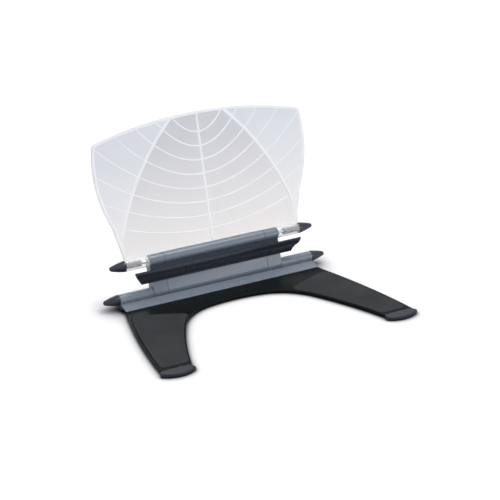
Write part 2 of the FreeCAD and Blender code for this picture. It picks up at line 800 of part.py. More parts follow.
# Arm, drawn along Z with the lower hinge at its origin, its front towards -Y

def armProfile(inset=0.0):
    """Two hinge barrels joined by a flat web, all walls moved inwards by the inset."""
    low = size.armLowerRadius - inset
    high = size.armUpperRadius - inset
    slope = math.radians(size.armFrontSlope)
    upper = vec(0, size.armLength)
    frontLow = vec(-low * math.cos(slope), low * math.sin(slope))
    frontFar = vec(armFrontAt(size.armLength, inset), size.armLength)
    frontHigh = circleHit(Part.Circle(upper, vec(0, 0, 1), high), line(frontLow, frontFar),
                          vec(armFrontAt(size.armLength - high, inset), size.armLength - high))
    flare = math.asin((high - low) / size.armLength)
    rearLow = vec(low * math.cos(flare), -low * math.sin(flare))
    rearHigh = vec(high * math.cos(flare), size.armLength - high * math.sin(flare))
    return [
        line(frontLow, frontHigh),
        arc(frontHigh, vec(0, size.armLength + high), rearHigh),
        line(rearHigh, rearLow),
        arc(rearLow, vec(0, -low), frontLow),
    ]


def armRearAt(height):
    """How far behind the arm's middle plane its rear face lies."""
    rise = (size.armUpperRadius - size.armLowerRadius) / size.armLength
    return size.armLowerRadius + height * rise


def armHalves():
    """Blocks ahead of and behind the plane through both hinges, as long as the cover."""
    tall = size.armLength + 4 * size.armUpperRadius
    deep = 3 * size.armUpperRadius
    low = -2 * size.armLowerRadius
    ahead = prism("aheadOfHinges", slab(-deep, -size.coverSeam / 2, low, tall), "YZ", 0.0,
                  "2 * (Sizes.coverHalf - Sizes.coverSeam)", centred=True)
    behind = prism("behindHinges", slab(size.coverSeam / 2, deep, low, tall), "YZ", 0.0,
                   "2 * Sizes.coverHalf", centred=True)
    return ahead, behind


def coverScrewSpots():
    return [(x, size.coverScrewRise) for x in spread(size.coverScrewCount, size.coverScrewPitch)]


def ledgeScrewSpots():
    rise = size.ledgeBottom + size.ledgeScrewRise
    return [(x, rise) for x in spread(size.ledgeScrewCount, size.ledgeScrewPitch)]


def armFrame():
    block = prism("armBlock", armProfile(), "YZ", 0.0, "2 * Sizes.armHalf", centred=True)
    field = slab(-size.armLength, size.armLength, -size.armLength, 2 * size.armLength)
    middle = prism("armMiddle", field, "YZ", 0.0, "2 * Sizes.coverHalf", centred=True)
    ends = cut("armEnds", block, [middle])
    outer = prism("armSkinOuter", armProfile(), "YZ", 0.0, "2 * Sizes.coverHalf", centred=True)
    hollow = armProfile(size.armWall)
    inner = prism("armSkinInner", hollow, "YZ", 0.0, "2 * Sizes.coverHalf + 2", centred=True)
    behind = armHalves()[1]
    skin = common("armRearSkin", cut("armSkinRing", outer, [inner]), behind)
    saddles = []
    for index, x in enumerate((-size.clipHalfSpacing, size.clipHalfSpacing)):
        rough = prism(f"saddle{index}", armProfile(size.armWall * 0.5), "YZ", x - size.saddleLength / 2,
                      "Sizes.saddleLength")
        rear = slab(size.coverSeam / 2, size.armLength, -size.armLength, 2 * size.armLength)
        keep = prism(f"saddleKeep{index}", rear, "YZ", x - size.saddleLength, "2 * Sizes.saddleLength")
        saddles.append(common(f"saddleRear{index}", rough, keep))
    body = fused("armFrameBlank", [ends, skin] + saddles)
    tools = []
    for level, z in (("Low", 0.0), ("High", size.armLength)):
        tools.append(rod("frameBore" + level, "Sizes.bushRadius", "2 * Sizes.armHalf + 2",
                         vec(-size.armHalf - 1, 0, z)))
        for index, x in enumerate((-size.clipHalfSpacing, size.clipHalfSpacing)):
            tools.append(clipTab(f"clipSlot{level}{index}", x, z, size.clipPlay))
    for index, (x, z) in enumerate(coverScrewSpots()):
        tools.append(rod(f"coverScrewHole{index}", "Sizes.screwRadius + Sizes.screwPlay",
                         "Sizes.armLowerRadius * 2", vec(x, 0, z), rearward))
        tools.append(rod(f"coverScrewWell{index}", "Sizes.screwHeadRadius + Sizes.screwPlay",
                         "Sizes.armLowerRadius * 2", vec(x, coverSeatY(), z), rearward))
    finish(cut("armFrame", body, tools), "arm_frame", onArm)


def coverSeatY():
    """Face under the heads of the cover screws, sunk into the arm's rear wall."""
    return armRearAt(size.coverScrewRise) - size.screwHeadHeight


def clipTab(name, x, z, grow):
    """The tail of a friction clip, which its saddle holds, or the slot that it fits."""
    return prism(name, slab(0.0, size.bushRadius + size.clipTail + grow, z - size.clipWall / 2 - grow,
                            z + size.clipWall / 2 + grow), "YZ",
                 x - size.clipLength / 2 - grow, size.clipLength + 2 * grow)


def frictionClips(name, z, label):
    """Sprung collars that grip a shaft so that the joint stays where it is put."""
    made = []
    wall = "Sizes.shaftRadius + Sizes.shaftFit + Sizes.clipWall"
    reach = size.bushRadius + 4
    for index, x in enumerate((-size.clipHalfSpacing, size.clipHalfSpacing)):
        collar = rod(f"{name}Collar{index}", wall, "Sizes.clipLength", vec(x - size.clipLength / 2, 0, z))
        tab = clipTab(f"{name}Tab{index}", x, z, 0.0)
        hole = rod(f"{name}Hole{index}", "Sizes.shaftRadius + Sizes.shaftFit", "Sizes.clipLength + 2",
                   vec(x - size.clipLength / 2 - 1, 0, z))
        opening = math.radians(size.clipMouth / 2)
        mouth = prism(f"{name}Mouth{index}", loop([
            vec(0, z), vec(-reach * math.cos(opening), z + reach * math.sin(opening)),
            vec(-reach * math.cos(opening), z - reach * math.sin(opening))]),
            "YZ", x - size.clipLength / 2 - 1, "Sizes.clipLength + 2")
        made.append(cut(f"{name}{index}", fused(f"{name}Blank{index}", [collar, tab]), [hole, mouth]))
    finish(grouped(name, made), label, onArm)


def bushes(name, z, label):
    """Plain bearings of a shaft in the arm's end blocks."""
    made = []
    for index, start in enumerate((-size.armHalf, size.armHalf - size.bushLength)):
        sleeve = rod(f"{name}Sleeve{index}", "Sizes.bushRadius", "Sizes.bushLength", vec(start, 0, z))
        hole = rod(f"{name}Hole{index}", "Sizes.shaftRadius + Sizes.shaftFit", "Sizes.bushLength + 2",
                   vec(start - 1, 0, z))
        made.append(cut(f"{name}{index}", sleeve, [hole]))
    finish(grouped(name, made), label, onArm)


def armCover():
    outer = prism("coverOuter", armProfile(), "YZ", 0.0, "2 * Sizes.coverHalf", centred=True)
    inner = prism("coverInner", armProfile(size.armWall), "YZ", 0.0, "2 * Sizes.coverHalf + 2", centred=True)
    ahead = armHalves()[0]
    skin = common("coverSkin", cut("coverRing", outer, [inner]), ahead)
    posts = []
    pilots = []
    for index, (x, z) in enumerate(coverScrewSpots()):
        start = armFrontAt(z) + size.armWall * 0.5
        length = armRearAt(z - size.coverPostRadius) - size.armWall - size.coverSeam - start
        posts.append(rod(f"coverPost{index}", "Sizes.coverPostRadius", length, vec(x, start, z), rearward))
        pilots.append(rod(f"coverPilot{index}", "Sizes.screwRadius", "Sizes.coverScrewBite",
                          vec(x, coverSeatY(), z), forward))
    for index, (x, z) in enumerate(ledgeScrewSpots()):
        pilots.append(rod(f"ledgeScrewHole{index}", "Sizes.screwRadius + Sizes.screwPlay",
                          "Sizes.armUpperRadius * 2", vec(x, 0, z), forward))
    finish(cut("armCover", fused("armCoverBlank", [skin] + posts), pilots), "arm_cover", onArm)


def coverScrews():
    screws = [screw(f"coverScrew{i}", vec(x, coverSeatY(), z), forward,
                    "Sizes.coverScrewBite") for i, (x, z) in enumerate(coverScrewSpots())]
    finish(grouped("coverScrews", screws), "cover_screws", onArm)


# Ledge that carries the pages, an S-shaped lip on a channel

def ogee():
    """Key points of the lip's outer curve, from its foot up."""
    radius = size.ogeeRadius
    start = math.radians(size.ogeeStart)
    steep = math.radians(size.ogeeSteep)
    end = math.radians(size.ogeeEnd)
    foot = vec(armFrontAt(size.ledgeBottom) - size.ledgeSkirt, size.ledgeBottom)
    firstCentre = foot + vec(-radius * math.cos(start), radius * math.sin(start) * -1)
    middle = firstCentre + vec(radius * math.cos(steep), radius * math.sin(steep))
    secondCentre = middle + vec(radius * math.cos(steep), radius * math.sin(steep))
    crest = secondCentre + vec(-radius * math.cos(end), -radius * math.sin(end))
    return foot, firstCentre, middle, secondCentre, crest


def onCircle(centre, radius, angle, sign):
    turn = math.radians(angle)
    return centre + vec(sign * radius * math.cos(turn), sign * radius * math.sin(turn))


def ledgeSheet():
    """Section of the lip: the same S outside and inside, down to the arm's face."""
    foot, firstCentre, middle, secondCentre, crest = ogee()
    radius = size.ogeeRadius
    halfLow = (size.ogeeStart + size.ogeeSteep) / 2
    halfHigh = (size.ogeeEnd + size.ogeeSteep) / 2
    inner = radius - size.lipWall
    outer = radius + size.lipWall
    slant = (size.ledgeTop - crest.y) * math.tan(math.radians(size.ogeeEnd)) / 2
    lipTop = vec(crest.x - slant, size.ledgeTop)
    innerTop = vec(lipTop.x + size.lipWall, size.ledgeTop)
    innerCrest = onCircle(secondCentre, inner, size.ogeeEnd, -1)
    innerMiddle = onCircle(secondCentre, inner, size.ogeeSteep, -1)
    face = line(vec(armFrontAt(0), 0), vec(armFrontAt(size.ledgeTop), size.ledgeTop))
    innerFoot = circleHit(Part.Circle(firstCentre, vec(0, 0, 1), outer), face, foot)
    rearFoot = vec(armFrontAt(size.ledgeBottom), size.ledgeBottom)
    innerTurn = math.degrees(math.atan2(innerFoot.y - firstCentre.y, innerFoot.x - firstCentre.x))
    return [
        arc(foot, onCircle(firstCentre, radius, halfLow, 1), middle),
        arc(middle, onCircle(secondCentre, radius, halfHigh, -1), crest),
        line(crest, lipTop),
        line(lipTop, innerTop),
        line(innerTop, innerCrest),
        arc(innerCrest, onCircle(secondCentre, inner, halfHigh, -1), innerMiddle),
        arc(innerMiddle, onCircle(firstCentre, outer, (size.ogeeSteep + innerTurn) / 2, 1), innerFoot),
        line(innerFoot, rearFoot),
        line(rearFoot, foot),
    ]


def ledgeWall():
    """Section of the wall that is screwed to the arm's face."""
    low = size.ledgeBottom + size.ledgeSkirt
    high = size.ledgeBackTop
    return loop([vec(armFrontAt(low), low), vec(armFrontAt(high), high),
                 vec(armFrontAt(high) - size.ledgeBackWall, high),
                 vec(armFrontAt(low) - size.ledgeBackWall, low)])


def ledgeEndTool(name, sign):
    """Everything beyond the ledge's curved end, seen square to the arm."""
    middleZ = (size.ledgeBottom + size.ledgeTop) / 2 - size.ledgeMidDrop
    top = vec(sign * size.ledgeTopHalf, size.ledgeTop)
    middle = vec(sign * size.ledgeMidHalf, middleZ)
    foot = vec(sign * size.ledgeBottomHalf, size.ledgeBottom)
    upperMiddle = (top + middle) * 0.5 + vec(sign * size.ledgeEndBulge, 0)
    far = sign * 2 * size.ledgeTopHalf
    below = size.ledgeBottom - size.ogeeRadius
    above = size.ledgeTop + size.ogeeRadius
    return prism(name, [
        arc(top, upperMiddle, middle),
        line(middle, foot),
        line(foot, vec(foot.x, below)),
        line(vec(foot.x, below), vec(far, below)),
        line(vec(far, below), vec(far, above)),
        line(vec(far, above), vec(top.x, above)),
        line(vec(top.x, above), top),
    ], "XZ", -size.armLength, "2 * Sizes.armLength")


def ledge():
    bar = prism("ledgeBar", ledgeSheet(), "YZ", 0.0, "2 * Sizes.ledgeTopHalf", centred=True)
    lip = cut("ledgeLip", bar, [ledgeEndTool("ledgeEndRight", 1), ledgeEndTool("ledgeEndLeft", -1)])
    wall = prism("ledgeWall", ledgeWall(), "YZ", 0.0, "2 * Sizes.ledgeBackHalf", centred=True)
    pilots = [rod(f"ledgePilot{i}", "Sizes.screwRadius", "Sizes.ledgeScrewBite + Sizes.armWall",
                  ledgeScrewSeat(x, z), forward)
              for i, (x, z) in enumerate(ledgeScrewSpots())]
    finish(cut("ledge", fused("ledgeBlank", [lip, wall]), pilots), "document_ledge", onArm)


def ledgeScrewSeat(x, z):
    """Middle of the face under a ledge screw's head, just clear of the slanting wall inside the arm."""
    clear = size.screwHeadRadius * math.tan(math.radians(size.armFrontSlope))
    return vec(x, armFrontAt(z, size.armWall) + clear, z)


def ledgeScrews():
    screws = []
    for i, (x, z) in enumerate(ledgeScrewSpots()):
        screws.append(screw(f"ledgeScrew{i}", ledgeScrewSeat(x, z), forward,
                            "Sizes.ledgeScrewBite + Sizes.armWall"))
    finish(grouped("ledgeScrews", screws), "ledge_screws", onArm)


# Back plate, drawn along Z with the upper hinge at its origin, its front towards -Y

def plateCurves(inset=0.0):
    """Right half of the plate's outline, from its foot to the top middle."""
    sideCentre = vec(size.plateHalf - size.plateSideRadius, size.plateWidestAt)
    topCentre = vec(0, size.plateTop - size.plateTopRadius)
    side = Part.Circle(sideCentre, vec(0, 0, 1), size.plateSideRadius - inset)
    top = Part.Circle(topCentre, vec(0, 0, 1), size.plateTopRadius - inset)
    cornerRadius = size.plateCorner - inset
    sideIn = Part.Circle(sideCentre, vec(0, 0, 1), size.plateSideRadius - size.plateCorner)
    topIn = Part.Circle(topCentre, vec(0, 0, 1), size.plateTopRadius - size.plateCorner)
    corner = circleHit(sideIn, topIn, vec(size.plateHalf, size.plateTop))
    sideEnd = side.value(side.parameter(corner))
    topEnd = top.value(top.parameter(corner))
    cornerMiddle = corner + ((sideEnd + topEnd) * 0.5 - corner).normalize() * cornerRadius
    flankX = size.knuckleHalf - inset
    flank = line(vec(flankX, 0), vec(flankX, size.plateWidestAt))
    flankTop = circleHit(side, flank, vec(flankX, size.wingStart))
    sideMiddle = side.value(side.parameter((flankTop + sideEnd) * 0.5))
    topMiddle = top.value(top.parameter(vec(topEnd.x * 0.5, topEnd.y)))
    upper = [
        arc(flankTop, sideMiddle, sideEnd),
        arc(sideEnd, cornerMiddle, topEnd),
        arc(topEnd, topMiddle, vec(0, size.plateTop - inset)),
    ]
    return flankX, flankTop, upper


def plateOutline():
    flankX, flankTop, upper = plateCurves()
    step = size.armHalf + size.sideGap
    foot = size.knuckleRadius * 0.5
    right = [
        line(vec(0, size.panelFoot), vec(step, size.panelFoot)),
        line(vec(step, size.panelFoot), vec(step, foot)),
        line(vec(step, foot), vec(flankX, foot)),
        line(vec(flankX, foot), flankTop),
    ] + upper
    return right + mirrored(right)


def insideRim(inset):
    """The field of the plate inside its raised rim."""
    flankX, flankTop, upper = plateCurves(inset)
    foot = size.panelFoot + inset
    right = [
        line(vec(0, foot), vec(flankX, foot)),
        line(vec(flankX, foot), flankTop),
    ] + upper
    return right + mirrored(right)


def archArc(shift=0.0):
    """One arch of the plate's relief, moved outwards by the shift."""
    low = vec(size.archLowX, size.archLowRise)
    middle = vec(size.archMidX, size.archMidRise)
    high = vec(size.archHighX, size.archHighRise)
    circle = Part.Circle(low, middle, high)
    ring = Part.Circle(circle.Center, circle.Axis, circle.Radius + shift)
    return [ring.value(ring.parameter(p)) for p in (low, middle, high)]


def archBand():
    outer = archArc(size.archWidth / 2)
    inner = archArc(-size.archWidth / 2)
    return [
        arc(outer[0], outer[1], outer[2]),
        line(outer[2], inner[2]),
        arc(inner[2], inner[1], inner[0]),
        line(inner[0], outer[0]),
    ]


def leafOutline():
    """The sunk field between the two arches."""
    arch = archArc(-size.archWidth / 2)
    foot = size.panelFoot + size.rimWidth / 2
    right = [
        line(vec(0, foot), vec(arch[0].x, foot)),
        line(vec(arch[0].x, foot), arch[0]),
        arc(arch[0], arch[1], arch[2]),
        line(arch[2], vec(0, arch[2].y)),
    ]
    return right + mirrored(right)


def veinSteepness(index):
    """Second-degree factor of a vein, so that it meets the arch at its own spot."""
    low, middle, high = archArc()
    circle = Part.Circle(low, middle, high)
    start = math.atan2(high.y - circle.Center.y, high.x - circle.Center.x)
    along = max(0.0, index * size.veinArchPitch - size.veinArchStart)
    turn = start - along / circle.Radius
    spot = circle.Center + vec(circle.Radius * math.cos(turn), circle.Radius * math.sin(turn))
    rise = spot.y - (size.veinTop - index * size.veinPitch)
    return rise / spot.x ** 2, spot.x


def veinBand(index):
    """A vein: a parabola across the plate, its lowest point on the spine."""
    steepness, archX = veinSteepness(index)
    reach = size.plateHalf + 20
    if index == int(size.veinCount) - 1 or index == 0:
        reach = archX
    low = size.veinTop - index * size.veinPitch
    half = size.veinWidth / 2

    def parabola(offset, side):
        rise = steepness * reach ** 2
        curve = Part.BezierCurve()
        curve.setPoles([vec(-side * reach, low + rise + offset), vec(0, low - rise + offset),
                        vec(side * reach, low + rise + offset)])
        return curve.toBSpline()

    rise = steepness * reach ** 2
    return [
        parabola(-half, 1),
        line(vec(reach, low + rise - half), vec(reach, low + rise + half)),
        parabola(half, -1),
        line(vec(-reach, low + rise + half), vec(-reach, low + rise - half)),
    ]


def backPlate():
    front = size.panelThick / 2
    blankPanel = prism("panelSheet", plateOutline(), "XZ", -front, "Sizes.panelThick")
    leaf = prism("leafRecess", leafOutline(), "XZ", front - size.leafDepth, "2 * Sizes.leafDepth")
    panel = cut("panel", blankPanel, [leaf])
    relief = "Sizes.beadHeight + 2 * Sizes.leafDepth"
    level = front - 2 * size.leafDepth
    rimBlank = prism("rimBlank", plateOutline(), "XZ", level, relief)
    rimField = prism("rimField", insideRim(size.rimWidth), "XZ", level - 1, "Sizes.beadHeight + 3")
    rim = cut("plateRim", rimBlank, [rimField])
    spineHalf = size.spineWidth / 2
    bands = [prism("archBandRight", archBand(), "XZ", level, relief),
             prism("archBandLeft", mirrored(archBand()), "XZ", level, relief),
             prism("spineBand", slab(-spineHalf, spineHalf, size.panelFoot, size.plateTop),
                   "XZ", level, relief)]
    for index in range(int(size.veinCount)):
        bands.append(prism(f"vein{index}", veinBand(index), "XZ", level, relief))
    field = prism("reliefField", insideRim(size.rimWidth * 0.5), "XZ", level - 1, "Sizes.beadHeight + 3")
    inField = common("reliefInField", fused("reliefBands", bands), field)
    knuckles = []
    holes = []
    for name, sign in (("Right", 1), ("Left", -1)):
        start = size.armHalf + size.sideGap if sign > 0 else -size.knuckleHalf
        knuckles.append(rod("knuckle" + name, "Sizes.knuckleRadius",
                            "Sizes.knuckleHalf - Sizes.armHalf - Sizes.sideGap", vec(start, 0, 0)))
        holes.append(rod("knuckleBore" + name, "Sizes.shaftRadius + Sizes.shaftFit",
                         "Sizes.knuckleHalf - Sizes.armHalf + 2", vec(start - 1, 0, 0)))
        socket = size.knuckleHalf - platePlugLength if sign > 0 else -size.knuckleHalf - 2
        holes.append(rod("knuckleSocket" + name, "Sizes.plugRadius + Sizes.plugFit",
                         platePlug + " + 2", vec(socket, 0, 0)))
    blank = fused("backPlateBlank", [panel, rim, inField] + knuckles)
    finish(cut("backPlate", blank, holes), "back_plate", onPlate)


def plateCaps():
    for side, sign in (("right", 1), ("left", -1)):
        name = "plateCap" + side
        length = platePlug + " + Sizes.capSeam"
        blank = fused(name + "Blank", [bulletBody(name + "Bullet"), capPlug(name + "Plug", length, True)])
        cap = cut(name, blank, [shaftHole(name + "Hole", platePlugLength + size.capSeam)])
        axis = vec(0, upperAxisY, upperAxisZ)
        placeCap(cap, "plate_cap_" + side, sign, plateCapBase, axis, size.plateLean)


def upperShaft():
    reach = "2 * (Sizes.armHalf + Sizes.knuckleWeb + Sizes.shaftSeat - Sizes.washerPlay)"
    half = size.armHalf + size.knuckleWeb + size.shaftSeat - size.washerPlay
    finish(rod("upperShaft", "Sizes.shaftRadius", reach, vec(-half, 0, 0)), "upper_shaft", onPlate)


baseShell()
legPads()
footCaps()
grips()
hingeRail()
railScrews()
railCaps()
lowerShaft()
finish(washerPair("lowerWashers"), "lower_washers", FreeCAD.Placement(vec(0, 0, lowerAxisZ), upwards))
armFrame()
armCover()
coverScrews()
ledge()
ledgeScrews()
frictionClips("lowerClips", 0.0, "lower_friction_clips")
frictionClips("upperClips", size.armLength, "upper_friction_clips")
bushes("lowerBushes", 0.0, "lower_bushes")
bushes("upperBushes", size.armLength, "upper_bushes")
backPlate()
plateCaps()
upperShaft()
finish(washerPair("upperWashers"), "upper_washers", onPlate)

doc.recompute()
for item in doc.Objects:
    if "Invalid" in item.State or "Error" in item.State:
        raise RuntimeError(f"{item.Label} did not build: {item.State}")
for piece in pieces:
    shape = piece.Shape
    if shape.isNull() or not shape.isValid() or not shape.Solids:
        raise RuntimeError(f"{piece.Label} is not a valid solid")
    shape.exportStep(f"parts/{piece.Label}.step")
    box = shape.BoundBox
    print(f"{piece.Label:22s} {len(shape.Solids)} solids {shape.Volume:10.1f} mm3 "
          f"x {box.XMin:.1f}..{box.XMax:.1f} y {box.YMin:.1f}..{box.YMax:.1f} "
          f"z {box.ZMin:.1f}..{box.ZMax:.1f}")
print(len(pieces), "pieces written")
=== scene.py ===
import math

import bmesh
import bpy
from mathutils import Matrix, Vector


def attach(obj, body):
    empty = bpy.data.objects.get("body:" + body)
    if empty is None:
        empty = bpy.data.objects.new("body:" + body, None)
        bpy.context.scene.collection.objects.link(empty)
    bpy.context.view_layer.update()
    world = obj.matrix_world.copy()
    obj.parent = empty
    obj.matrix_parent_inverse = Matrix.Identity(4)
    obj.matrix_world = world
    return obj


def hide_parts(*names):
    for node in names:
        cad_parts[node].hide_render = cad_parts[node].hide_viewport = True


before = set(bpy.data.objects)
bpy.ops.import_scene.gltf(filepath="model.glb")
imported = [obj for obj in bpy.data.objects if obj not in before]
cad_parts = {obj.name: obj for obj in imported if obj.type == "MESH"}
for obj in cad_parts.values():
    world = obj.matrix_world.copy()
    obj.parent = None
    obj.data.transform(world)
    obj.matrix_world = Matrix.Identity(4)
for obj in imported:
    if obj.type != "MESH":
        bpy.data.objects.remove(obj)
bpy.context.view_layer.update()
mm = 0.001
print("frame loaded,", len(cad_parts), "nodes")


# Colours are written as they look on the object, 0 to 255

def tint(red, green, blue):
    def linear(value):
        share = value / 255
        return share / 12.92 if share <= 0.04045 else ((share + 0.055) / 1.055) ** 2.4
    return (linear(red), linear(green), linear(blue), 1.0)


# Nodes that several trees use

mixShare, mixFirst, mixSecond, mixResult = 0, 6, 7, 2  # sockets of a Mix node for colours


def colourMix(tree):
    mix = tree.nodes.new("ShaderNodeMix")
    mix.data_type = "RGBA"
    return mix


def mathNode(tree, operation):
    node = tree.nodes.new("ShaderNodeMath")
    node.operation = operation
    return node


def rangeNode(tree, given=(0.0, 1.0), result=(0.0, 1.0)):
    node = tree.nodes.new("ShaderNodeMapRange")
    for label, value in zip(("From Min", "From Max", "To Min", "To Max"), (*given, *result)):
        node.inputs[label].default_value = value
    return node


def noiseNode(tree, detail):
    noise = tree.nodes.new("ShaderNodeTexNoise")
    noise.inputs["Detail"].default_value = detail
    return noise


def newMaterial(name):
    material = bpy.data.materials.new(name)
    material.use_nodes = True
    tree = material.node_tree
    return material, tree, tree.nodes["Principled BSDF"]


# Shader groups that several finishes share

def newGroup(name, inputs, outputs):
    group = bpy.data.node_groups.new(name, "ShaderNodeTree")
    for label, kind, value in inputs:
        socket = group.interface.new_socket(name=label, in_out="INPUT", socket_type=kind)
        socket.default_value = value
    for label, kind in outputs:
        group.interface.new_socket(name=label, in_out="OUTPUT", socket_type=kind)
    return group, group.nodes.new("NodeGroupInput"), group.nodes.new("NodeGroupOutput")


grainNoise = {"grainDetail": 3.0, "driftDetail": 2.0, "driftRange": (0.35, 0.65)}


def makeMouldedGrain():  # the fine bite of a spark-eroded mould, and slow changes of gloss
    group, inside, outside = newGroup(
        "mouldedGrain",
        [("Grain Scale", "NodeSocketFloat", 1200.0), ("Drift Scale", "NodeSocketFloat", 30.0),
         ("Low Roughness", "NodeSocketFloat", 0.3), ("High Roughness", "NodeSocketFloat", 0.4)],
        [("Height", "NodeSocketFloat"), ("Roughness", "NodeSocketFloat"), ("Drift", "NodeSocketFloat")])
    place = group.nodes.new("ShaderNodeTexCoord")
    grain = noiseNode(group, grainNoise["grainDetail"])
    drift = noiseNode(group, grainNoise["driftDetail"])
    spread = rangeNode(group, given=grainNoise["driftRange"])
    link = group.links.new
    link(place.outputs["Object"], grain.inputs["Vector"])
    link(place.outputs["Object"], drift.inputs["Vector"])
    link(inside.outputs["Grain Scale"], grain.inputs["Scale"])
    link(inside.outputs["Drift Scale"], drift.inputs["Scale"])
    link(drift.outputs["Fac"], spread.inputs["Value"])
    link(inside.outputs["Low Roughness"], spread.inputs["To Min"])
    link(inside.outputs["High Roughness"], spread.inputs["To Max"])
    link(grain.outputs["Fac"], outside.inputs["Height"])
    link(spread.outputs["Result"], outside.inputs["Roughness"])
    link(drift.outputs["Fac"], outside.inputs["Drift"])
    return group


outerEdges = (0.52, 0.62)  # the pointiness from which an edge gets the lighter tone of wear and painted sheen


def makeWearAndSheenTone():  # a colour that drifts a little and lightens on its outer edges, partly as wear and partly as a painted sheen of light caught by the edges
    group, inside, outside = newGroup(
        "wearAndSheenTone",
        [("Colour", "NodeSocketColor", (0.5, 0.5, 0.5, 1)), ("Shade", "NodeSocketColor", (0.4, 0.4, 0.4, 1)),
         ("Worn And Sheen Edge", "NodeSocketColor", (0.7, 0.7, 0.7, 1)), ("Drift", "NodeSocketFloat", 0.5),
         ("Wear And Sheen", "NodeSocketFloat", 0.3)],
        [("Colour", "NodeSocketColor")])
    geometry = group.nodes.new("ShaderNodeNewGeometry")
    edge = rangeNode(group, given=outerEdges)
    amount = mathNode(group, "MULTIPLY")
    tone = colourMix(group)
    wornAndSheenEdge = colourMix(group)
    link = group.links.new
    link(inside.outputs["Drift"], tone.inputs[mixShare])
    link(inside.outputs["Colour"], tone.inputs[mixFirst])
    link(inside.outputs["Shade"], tone.inputs[mixSecond])
    link(geometry.outputs["Pointiness"], edge.inputs["Value"])
    link(edge.outputs["Result"], amount.inputs[0])
    link(inside.outputs["Wear And Sheen"], amount.inputs[1])
    link(amount.outputs["Value"], wornAndSheenEdge.inputs[mixShare])
    link(tone.outputs[mixResult], wornAndSheenEdge.inputs[mixFirst])
    link(inside.outputs["Worn And Sheen Edge"], wornAndSheenEdge.inputs[mixSecond])
    link(wornAndSheenEdge.outputs[mixResult], outside.inputs["Colour"])
    return group


mouldedGrain = makeMouldedGrain()
wearAndSheenTone = makeWearAndSheenTone()


def mouldedSurface(tree, shader, look):  # grain and gloss, with a bump where the look has a bite
    grain = tree.nodes.new("ShaderNodeGroup")
    grain.node_tree = mouldedGrain
    grain.inputs["Grain Scale"].default_value = look["grainScale"]
    grain.inputs["Drift Scale"].default_value = look["driftScale"]
    grain.inputs["Low Roughness"].default_value = look["roughness"][0]
    grain.inputs["High Roughness"].default_value = look["roughness"][1]
    tree.links.new(grain.outputs["Roughness"], shader.inputs["Roughness"])
    if "bite" in look:
        bump = tree.nodes.new("ShaderNodeBump")
        bump.inputs["Strength"].default_value = look["bite"]
        bump.inputs["Distance"].default_value = look["depth"] * mm
        tree.links.new(grain.outputs["Height"], bump.inputs["Height"])
        tree.links.new(bump.outputs["Normal"], shader.inputs["Normal"])
    return grain


def finishOf(name, look):
    material, tree, shader = newMaterial(name)
    grain = mouldedSurface(tree, shader, look)
    tone = tree.nodes.new("ShaderNodeGroup")
    tone.node_tree = wearAndSheenTone
    tone.inputs["Colour"].default_value = tint(*look["colour"])
    tone.inputs["Shade"].default_value = tint(*look["shade"])
    tone.inputs["Worn And Sheen Edge"].default_value = tint(*look["wornAndSheenEdge"])
    tone.inputs["Wear And Sheen"].default_value = look["wearAndSheen"]
    shader.inputs["Metallic"].default_value = look.get("metallic", 0.0)
    shader.inputs["Specular IOR Level"].default_value = look.get("specular", 0.5)
    tree.links.new(grain.outputs["Drift"], tone.inputs["Drift"])
    tree.links.new(tone.outputs["Colour"], shader.inputs["Base Color"])
    return material


